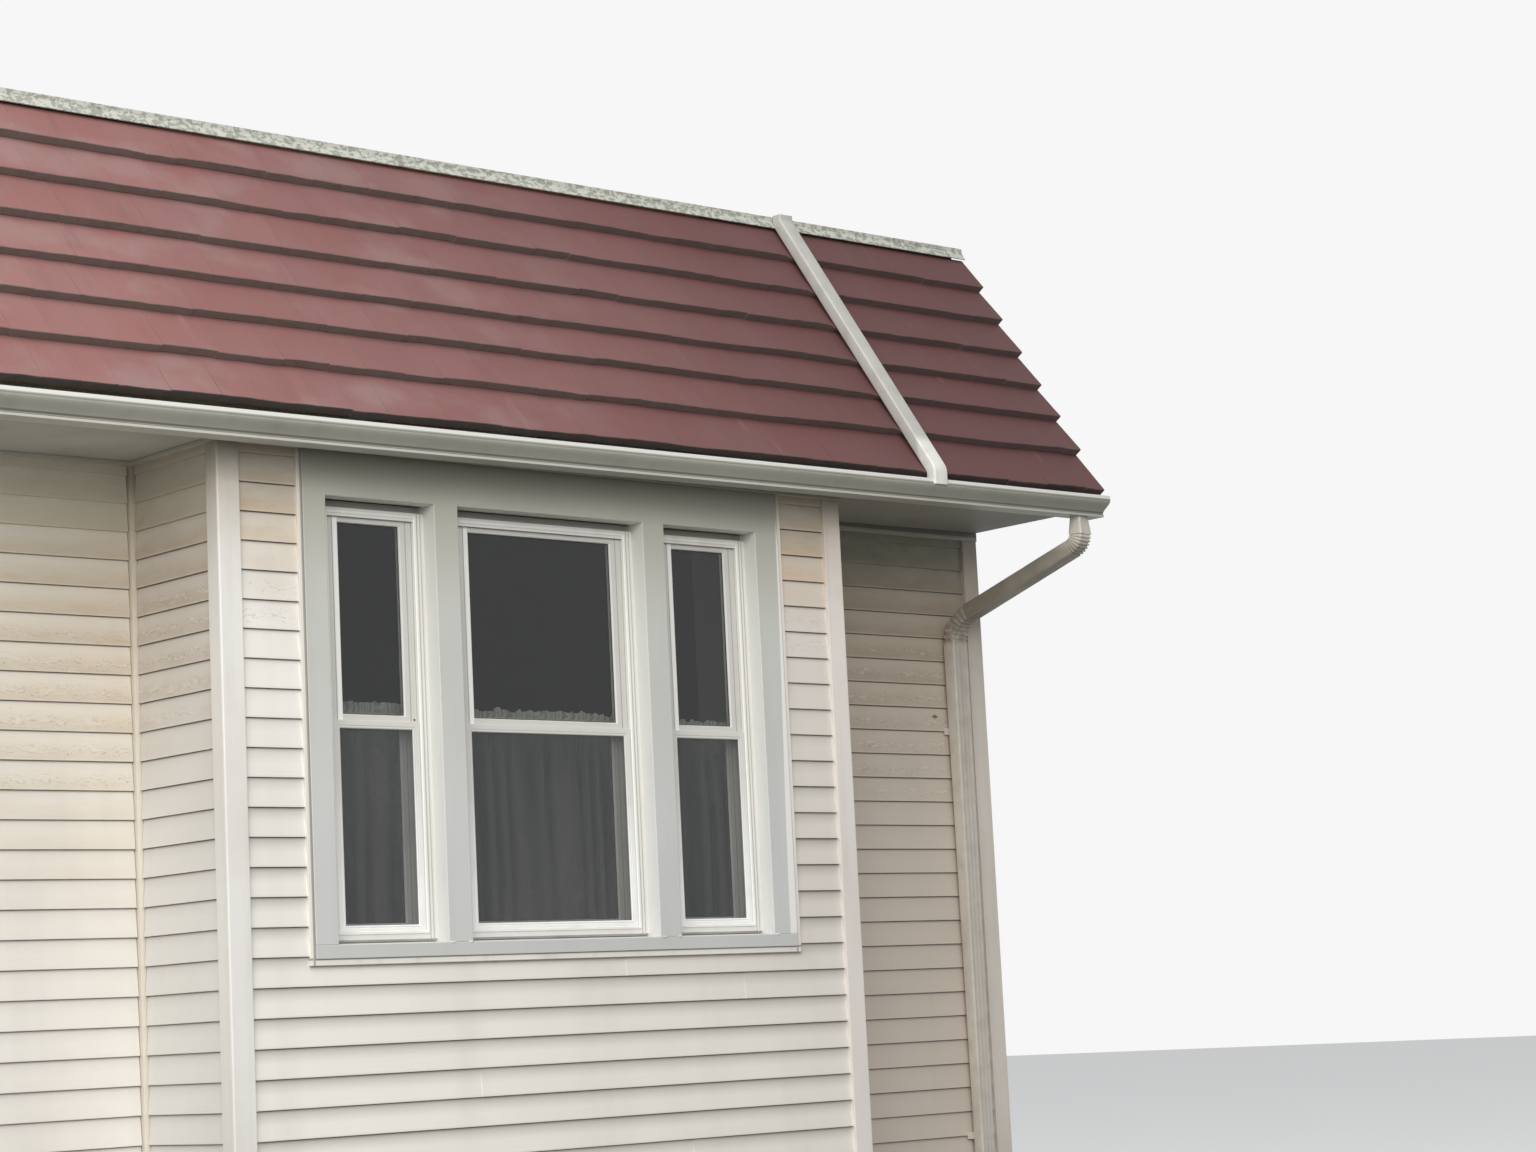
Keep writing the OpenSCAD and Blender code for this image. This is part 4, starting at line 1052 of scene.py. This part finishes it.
# Eave
# Boards and sheet metal under the roof's edge: a plain painted soffit, the fascia behind
# the gutter, the boards that close both ends, and the bare edge of the deck.
eave_paint = new_material("eave paint")
spot, x, _, _ = place()
body = layers(
    mix(cloud(spot, 1.5, 4.0), "c6c7c2", "b9bab3"),
    (grouped(dust, Scale=2.5, Amount=0.5), "8c8a7f"),
    # Darker towards the right, over the wall beside the bay: painted shade
    (fade(x, 0.5, 2.0, 0.5), "7c7a70"))
surface(body, 0.6, cloud(spot, 25.0, 5.0, (0.2, 1.0, 1.0)), 0.0006)
dress(eave_paint, "soffit", "fascia", "eave_ends", soften=0.0015)

deck_wood = new_material("deck wood")
grain = cloud(place()[0], 12.0, 8.0, (0.4, 6.0, 6.0), 0.5)
surface(mix(grain, "6e5f49", "9d8a6b"), 0.85, grain, 0.002)
dress(deck_wood, "roof_deck")


# Shingles
# Thick painted wooden shingles in seven courses, brick red and faded to pink at the left,
# streaked along the slope, with heavy grey-brown butts that are a little uneven.
PITCH_OF_ROOF = radians(58)
LEAN = radians(0.3)
EAVE_Z = 3.218
FASCIA_Y = -0.659
FASCIA_TOP = 3.350
DECK = 0.018
PIPE_SEAT = 0.046
BUTT_TOP = 0.060
LAP_TOP = 0.019
LAP_HIDDEN = 0.03
TOP_END = 0.032
ROOF_LEFT, ROOF_RIGHT = -2.385, 2.860
NARROWEST, WIDEST = 0.13, 0.29
LAST_WIDTH = 0.09
SHINGLE_GAP = 0.0004
SLICES = 6
# Lower edges of the seven courses at the left and the right end of the roof, measured up the
# slope from the fascia's upper corner
COURSE_STARTS = ((-0.072, -0.098), (0.136, 0.131), (0.334, 0.328), (0.521, 0.513), (0.716, 0.706),
                 (0.921, 0.903), (1.118, 1.102))
ROOF_TOP = 1.290
# Where the pipe on the roof has its middle, at its mouth and at the roof's top
MOUTH_X, TOP_X = 1.838, 1.745


def settled(point):
    """A point turned with the eave, which has sunk a little at its left end."""
    x, y, z = point[0], point[1], point[2] - EAVE_Z
    return (x * cos(LEAN) - z * sin(LEAN), y, EAVE_Z + z * cos(LEAN) + x * sin(LEAN))


def on_roof(x, u, v):
    """The point at x along the eave, u up the slope and v above the deck's underside."""
    return settled((x, FASCIA_Y + u * cos(PITCH_OF_ROOF) - v * sin(PITCH_OF_ROOF),
                    FASCIA_TOP + u * sin(PITCH_OF_ROOF) + v * cos(PITCH_OF_ROOF)))


shingle_paint = new_material("shingle paint")
spot, x, _, _ = place()
tilt = {"Vector": spot, "Rotation": (-PITCH_OF_ROOF, 0, 0)}
along_slope = add_node("ShaderNodeMapping", tilt).outputs[0]
sunk = fade(plus(x, times(cloud(spot, 1.1, 5.0), 1.6)), -1.6, 3.2)
streak = fade(cloud(along_slope, 7.0, 4.0, (1.0, 0.10, 1.0)), 0.64, 0.76, 0.50)
chalky = times(fade(cloud(spot, 2.6, 5.0, (1.0, 1.0, 1.6)), 0.48, 0.66), fade(x, 0.8, -1.0, 0.4))
tint = add_node("ShaderNodeNewGeometry").outputs["Random Per Island"]
body = layers(
    mix(sunk, "946a67", "5b3a3a"),
    (fade(cloud(spot, 2.3, 6.0), 0.35, 0.7, 0.55), mix(sunk, "8f5c57", "5e3534")),
    (times(streak, fade(cloud(spot, 1.7, 3.0), 0.45, 0.65)), "ad918d"),
    (chalky, "9c8683"),
    (fade(cloud(along_slope, 11.0, 6.0, (1.0, 0.16, 1.0)), 0.55, 0.8, 0.35), "6a4a48"),
    (times(tint, 0.10), "4f3634"))
grain = plus(cloud(along_slope, 30.0, 6.0, (3.0, 0.10, 1.0)), cloud(spot, 90.0, 3.0))
surface(body, 0.72, grain, 0.0010)

butt_paint = new_material("shingle butt")
spot, x, _, z = place()
body = layers(
    mix(cloud(spot, 14.0, 6.0), "7b6e69", "8a7d77"),
    (fade(x, -1.8, 2.6), "6e5f5b"),
    (fade(cloud(spot, 40.0, 5.0), 0.5, 0.8, 0.4), "5a4d46"),
    # The eave course's butts, just above the gutter, painted darker: painted shade
    (fade(z, 3.42, 3.38, 0.55), "403b39"))
surface(body, 0.9, cloud(spot, 80.0, 4.0), 0.002)


def shingle(number, x, wide, slip, lift):
    """One shingle of course number from x on: its points, its faces and their finishes' numbers."""
    start_left, start_right = COURSE_STARTS[number]
    end, end_rise = ROOF_TOP, TOP_END
    if number + 1 < len(COURSE_STARTS):
        end, end_rise = sum(COURSE_STARTS[number + 1]) / 2 + LAP_HIDDEN, LAP_TOP
    rings = []
    for i in range(SLICES + 1):
        across = x + SHINGLE_GAP + (wide - 2 * SHINGLE_GAP) * i / SLICES
        share = (across - ROOF_LEFT) / (ROOF_RIGHT - ROOF_LEFT)
        rag = 0.0034 * noise((across * 13.0, number * 4.0, 0.0))
        rag += 0.0050 * noise((across * 1.6, number * 2.0, 5.0))
        cup = -0.0012 * sin(pi * i / SLICES)
        butt = start_left + (start_right - start_left) * share + slip + rag
        pipe_x = MOUTH_X + (TOP_X - MOUTH_X) * butt / ROOF_TOP
        beside_pipe = min(1.0, max(0.0, (abs(across - pipe_x) - 0.040) / 0.030))
        edge = PIPE_SEAT + (BUTT_TOP - PIPE_SEAT) * beside_pipe + lift
        edge -= 0.008 * beside_pipe * max(0.0, noise((across * 2.6, number * 3.0, 9.0)))
        face = [(butt + 0.006, DECK + 0.001), (butt + 0.005, LAP_TOP + 0.004), (butt, LAP_TOP + 0.006),
                (butt, edge - 0.002), (butt + 0.002, edge)]
        for t in (0.25, 0.5, 0.75, 1.0):
            ripple = 0.0010 * noise((across * 7.0, butt + t, number))
            wobble = (cup + ripple) * (t < 1)
            face.append((butt + (end - butt) * t, edge + (end_rise - edge) * t + wobble))
        face.append((end, DECK + 0.001))
        rings.append([on_roof(across, u, v) for u, v in face])
    points, faces = skin(rings)
    # Both ends and the lowest four faces of each slice have the butts' colour
    numbers = [1 if j % len(rings[0]) < 4 else 0 for j in range(len(faces) - 2)] + [1, 1]
    return points, faces, numbers


random.seed(7)
shingle_shells = []
for number in range(len(COURSE_STARTS)):
    x = ROOF_LEFT
    while x < ROOF_RIGHT - 0.001:
        wide = random.uniform(NARROWEST, WIDEST)
        if ROOF_RIGHT - x - wide < LAST_WIDTH:
            wide = ROOF_RIGHT - x
        slip = random.uniform(-0.0028, 0.0028)
        lift = random.uniform(-0.0014, 0.0)
        shingle_shells.append(shingle(number, x, wide, slip, lift))
        x += wide
shingles = build("shingle_courses", shingle_shells, [shingle_paint, butt_paint], 40.0)
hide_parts("shingles")


# Flashing at the roof's top
# A strip of painted metal that laps the top course and turns up behind the siding above,
# its white paint flaking and green with dirt.
flashing_paint = new_material("flashing paint")
spot = place()[0]
peel = fade(cloud(spot, 38.0, 9.0, (1.0, 1.0, 1.6), 0.6), 0.47, 0.58)
body = mix(peel, "c6c6bd", "9b9d92")
body = mix(fade(cloud(spot, 15.0, 8.0), 0.55, 0.75, 0.6), body, "74766b")
surface(body, fade(peel, 0.0, 1.0, 0.8, 0.45), plus(times(peel, -1.0), cloud(spot, 20.0)), 0.0012)
dress(flashing_paint, "top_flashing")


# Gutter
# A seamless aluminium K-gutter nailed to the fascia, dulled by road film on the curved face,
# with hangers across the trough. Its folded rim and its lower bead have painted highlights, and
# the line under the rim and the groove above the bead have painted shade.
RIM_Z = 3.269
BEAD_Z = 3.184
HANGER_PITCH = 0.61
HANGER_REACH = 0.115
HANGER_SAG = 0.012
HANGER_WIDE = 0.024
HANGER_THICK = 0.0018

gutter_paint = new_material("gutter paint")
spot, x, _, z = place()
level_z = minus(z, times(x, sin(LEAN)))
# Painted highlights along the folded rim and the lower bead, painted shade under the rim and in the groove
rim = times(fade(level_z, RIM_Z - 0.015, RIM_Z - 0.011), 0.95)
under_rim = fade(apart(level_z, RIM_Z - 0.019), 0.006, 0.0, 0.6)
foot = times(fade(level_z, BEAD_Z + 0.014, BEAD_Z + 0.010), fade(x, -2.4, 2.8, 0.20, 0.38))
groove = times(fade(apart(level_z, BEAD_Z + 0.018), 0.006, 0.001), 0.85)
body = layers(
    mix(cloud(spot, 2.0, 5.0, (0.4, 1.0, 1.0)), "bebcb0", "cac9be"),
    (grouped(rain_marks, Width=8.0, Amount=0.22), "7d7b6d"),
    (fade(x, 0.4, 2.8, 0.35), "8a877b"),
    # Painted shade
    (larger(groove, under_rim), "5d5a4e"),
    # Painted highlights
    (larger(rim, foot), "eeede9"),
    (times(fade(facing()[2], 0.5, 0.9), fade(level_z, RIM_Z - 0.02, RIM_Z - 0.03)), "5a5346"))
surface(body, 0.42, cloud(spot, 1.6, 2.0, (0.6, 1.0, 1.0)), 0.006, 0.4)
dress(gutter_paint, "gutter")

hanger_shells = []
x = ROOF_LEFT + 0.22
while x < ROOF_RIGHT - 0.1:
    arch = [(FASCIA_Y - 0.002 - HANGER_REACH * i / 8, RIM_Z - 0.0035 - HANGER_SAG * sin(pi * i / 8))
            for i in range(9)]
    outline = arch + [(b, c - HANGER_THICK) for b, c in reversed(arch)]
    hanger_shells.append(skin([[settled((x + dx, b, c)) for b, c in outline] for dx in (0.0, HANGER_WIDE)]))
    x += HANGER_PITCH

zinc = new_material("bare zinc")
spot = place()[0]
surface(mix(grouped(dust, Scale=25.0, Amount=0.8), "9a9c9a", "6c675c"), 0.5, Metallic=0.7)
build("gutter_hangers", hanger_shells, [zinc])


# Downspouts
# Rectangular aluminium pipes with rounded corners. One lies on the shingles and turns down
# into the gutter; the other leaves the gutter at the corner and runs down the wall in straps.
PIPE_WIDE = 0.076
PIPE_DEEP = 0.051
PIPE_ROUND = 0.009
ELBOW_RADII = (0.062, 0.140)
ROOF_ELBOW = 0.045
MOUTH_DROP = 0.062


def rounded_section(wide, deep, radius, flute=0.0, grown=0.0):
    """A rounded rectangle, with three flutes in its wide faces, as distances across and out."""
    a, b, points = wide / 2 + grown, deep / 2 + grown, []
    corners = ((a - radius, b - radius), (radius - a, b - radius), (radius - a, radius - b),
               (a - radius, radius - b))
    for number, (cx, cy) in enumerate(corners):
        for turn in [radians(90 * number + t) for t in (0, 22.5, 45, 67.5, 90)]:
            points.append((cx + radius * cos(turn), cy + radius * sin(turn)))
        if flute and number in (0, 2):
            side = 1 - number
            for i in range(1, 18):
                across = side * (a - radius) * (1 - i / 9)
                sunk = flute * (0.5 - 0.5 * cos(tau * 3 * i / 18))
                points.append((across, side * (b - sunk)))
    return points


def pipe_shell(stations, flute=0.0):
    """A pipe's skin over stations: each a centre, a direction, the way across and the section's growth."""
    rings = []
    for centre, ahead, across, grown in stations:
        across = (across - ahead * across.dot(ahead)).normalized()
        out = ahead.cross(across).normalized()
        section = rounded_section(PIPE_WIDE, PIPE_DEEP, PIPE_ROUND, flute, grown)
        rings.append([tuple(centre + across * a + out * b) for a, b in section])
    return skin(rings)


def rounded_path(corners, radii, steps):
    """A path of straight stretches and arcs: its points, each with its direction and if it's in an arc."""
    made = [(corners[0], (corners[1] - corners[0]).normalized(), False)]
    for before, corner, after, radius in zip(corners, corners[1:], corners[2:], radii):
        a, b = (corner - before).normalized(), (after - corner).normalized()
        turn = a.angle(b)
        tangent = radius * tan(turn / 2)
        axis = a.cross(b).normalized()
        start = corner - a * tangent
        centre = start + axis.cross(a).normalized() * radius
        for i in range(steps + 1):
            turned = Matrix.Rotation(turn * i / steps, 3, axis)
            made.append((centre + turned @ (start - centre), turned @ a, True))
    made.append((corners[-1], (corners[-1] - corners[-2]).normalized(), False))
    return made


def pipe_finish(name, clean, dirt, amount, marks, run):
    """Painted pipe with an amount of dirt and rain marks; run is the colour of the stretch off the wall."""
    made = new_material(name)
    spot, x, y, z = place()
    off_wall = times(fade(y, -0.07, -0.12), fade(z, 3.11, 3.05))
    uneven = fade(cloud(spot, 9.0, 4.0), 0.3, 0.7, 0.92, 0.7)
    bend = times(fade(z, 2.71, 2.74), fade(z, 2.87, 2.84))
    body = layers(
        mix(cloud(spot, 3.0, 4.0, (1.0, 1.0, 0.4)), clean, mix(0.25, clean, dirt)),
        (times(fade(y, -0.70, -0.73), fade(x, 2.2, 2.0, 0.8)), "f6f5f1"),
        (times(bend, fade(cloud(spot, 40.0, 5.0), 0.35, 0.6, 0.8, 0.2)), "8f7f6b"),
        (grouped(dust, Scale=14.0, Amount=amount), dirt),
        (times(off_wall, uneven), run),
        (grouped(rain_marks, Width=20.0, Amount=marks), dirt))
    surface(body, fade(cloud(spot, 9.0), 0.3, 0.7, 0.5, 0.36), cloud(spot, 4.0, 3.0), 0.003, 0.4)
    return made


roof_pipe_paint = pipe_finish("roof pipe paint", "c6c6c2", "8d8676", 0.25, 0.12, "c6c6c2")
wall_pipe_paint = pipe_finish("wall pipe paint", "e2dcd2", "8d8371", 0.26, 0.18, "9a9385")

# The roof pipe, from its mouth over the gutter up to the flashing
lie = PIPE_SEAT + 0.001 + PIPE_DEEP / 2
top_u = (-FASCIA_Y - PIPE_DEEP + (PIPE_SEAT + PIPE_DEEP) * sin(PITCH_OF_ROOF)) / cos(PITCH_OF_ROOF)
bend_low = Vector(on_roof(MOUTH_X, -0.094, lie))
bend_high = Vector(on_roof(TOP_X, top_u - 0.012, lie))
mouth = bend_low - Vector((0, 0, MOUTH_DROP))
head = Vector((bend_high.x, bend_high.y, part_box("upper_downspout")[1].z))
path = rounded_path([mouth, bend_low, bend_high, head], (ROOF_ELBOW, ROOF_ELBOW), 9)
roof_stations = [(point, ahead, ALONG, 0.0) for point, ahead, _ in path]
roof_pipe = build("roof_downspout", [pipe_shell(roof_stations)], [roof_pipe_paint], 50.0)
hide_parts("upper_downspout")

# The wall pipe, from the gutter's outlet down to its foot
OUTLET = Vector((2.748, -0.701, 3.198))
ELBOW_DROP = 0.114
PIPE_X, PIPE_Y = 2.614, -0.0555
TURN_Z = 2.822
FOOT_Z = 0.060
ELBOW_STEP = 0.002
RIB = 0.0050
FLUTE = 0.0016
corners = [OUTLET, OUTLET - Vector((0, 0, ELBOW_DROP)), Vector((PIPE_X, PIPE_Y, TURN_Z)),
           Vector((PIPE_X, PIPE_Y, FOOT_Z))]
run = Vector((PIPE_X - OUTLET.x, PIPE_Y - OUTLET.y, 0)).normalized()
slant_side = Vector((run.y, -run.x, 0))
wall_stations = []
for i, (point, ahead, arc) in enumerate(rounded_path(corners, ELBOW_RADII, 28)):
    past = max(0.0, min(1.0, (TURN_Z + 0.07 - point.z) / 0.14))
    ribs = ELBOW_STEP + RIB * (i % 4 in (1, 2)) if arc else 0.0
    wall_stations.append((point, ahead, slant_side.lerp(ALONG, past), ribs))
collar = [(Vector((OUTLET.x, OUTLET.y, OUTLET.z - drop)), Vector((0, 0, -1)), slant_side, 0.0012)
          for drop in (0.030, 0.042)]
pipe_shells = [pipe_shell(wall_stations, FLUTE), pipe_shell(collar)]
wall_pipe = build("wall_downspout", pipe_shells, [wall_pipe_paint], 50.0)
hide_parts("lower_downspout")

# Straps round the wall pipe, screwed to the siding at both ends
STRAP_COURSES = (2, 19)
STRAP_TALL = 0.030
STRAP_THICK = 0.0016
EAR = 0.020


def screw_shell(centre, out, radius=0.0035, rise=0.0018):
    """A small domed screw head on a face that looks along out."""
    a = out.orthogonal().normalized()
    b = out.cross(a)
    rings = []
    for share, height in ((1.0, -0.0005), (1.0, rise * 0.35), (0.75, rise * 0.8), (0.3, rise)):
        rings.append([tuple(centre + out * height + (a * cos(t) + b * sin(t)) * radius * share)
                      for t in [i * tau / 10 for i in range(10)]])
    return skin(rings)


half = PIPE_WIDE / 2
front_y = PIPE_Y - PIPE_DEEP / 2
line = [(-half - EAR, -BUTT), (-half, -BUTT), (-half, front_y + 0.006), (-half + 0.006, front_y),
        (half - 0.006, front_y), (half, front_y + 0.006), (half, -BUTT), (half + EAR, -BUTT)]
outer = [(a + copysign(STRAP_THICK, a) * (abs(b + BUTT) > 0.001), b - STRAP_THICK) for a, b in line]
outline = line + outer[::-1]
strap_shells, strap_screws = [], []
for k in STRAP_COURSES:
    z_at = siding_foot + k * COURSE
    strap_shells.append(skin([[(PIPE_X + a, b, z_at + dz) for a, b in outline]
                              for dz in (-STRAP_TALL / 2, STRAP_TALL / 2)]))
    for side in (-1, 1):
        centre = Vector((PIPE_X + side * (half + EAR * 0.6), -BUTT - STRAP_THICK, z_at))
        strap_screws.append(screw_shell(centre, OUTWARD))
strap_shells += strap_screws
straps = build("downspout_straps", strap_shells, [wall_pipe_paint], 40.0)
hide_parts("lower_downspout")


# Caulk and screws at the windows
# White sealant squeezed into the joints where mullions and casings meet the sill, and a
# small dark screw at the end of the left window's meeting rail.
caulk = new_material("caulk")
spot = place()[0]
surface(mix(grouped(dust, Scale=30.0, Amount=0.5), "e8e7e2", "a9a493"), 0.6, cloud(spot, 120.0), 0.0006)

caulk_shells = []
random.seed(3)
for edge_x, reach in ((openings[0][1], 0.03), (openings[1][0], -0.02), (openings[1][1], 0.035),
                      (openings[2][0], -0.02), (openings[2][1], 0.03)):
    rings = []
    for i in range(7):
        t = i / 6
        thick = 0.0016 + 0.0022 * sin(pi * t) * random.uniform(0.7, 1.2)
        height = casing_low.z - 0.0005 + 0.001 * random.uniform(-1, 1)
        centre = Vector((edge_x + reach * t, casing_low.y + 0.0015, height))
        rings.append([tuple(centre + Vector((0, -thick * sin(a), thick * 1.3 * cos(a))))
                      for a in [j * tau / 8 for j in range(8)]])
    caulk_shells.append(skin(rings))
build("caulk_beads", caulk_shells, [caulk], 60.0)

dark_screw = new_material("dark screw")
spot = place()[0]
surface(mix(cloud(spot, 200.0), "4b4640", "7a6f62"), 0.5, Metallic=0.6)
rail_z = (MEETING_TOP + MEETING_FOOT) / 2 + 0.006
rail_screw = screw_shell(Vector((openings[0][1] - JAMB - 0.014, upper_low.y, rail_z)), OUTWARD, 0.0045)
build("rail_screw", [rail_screw], [dark_screw], 40.0)
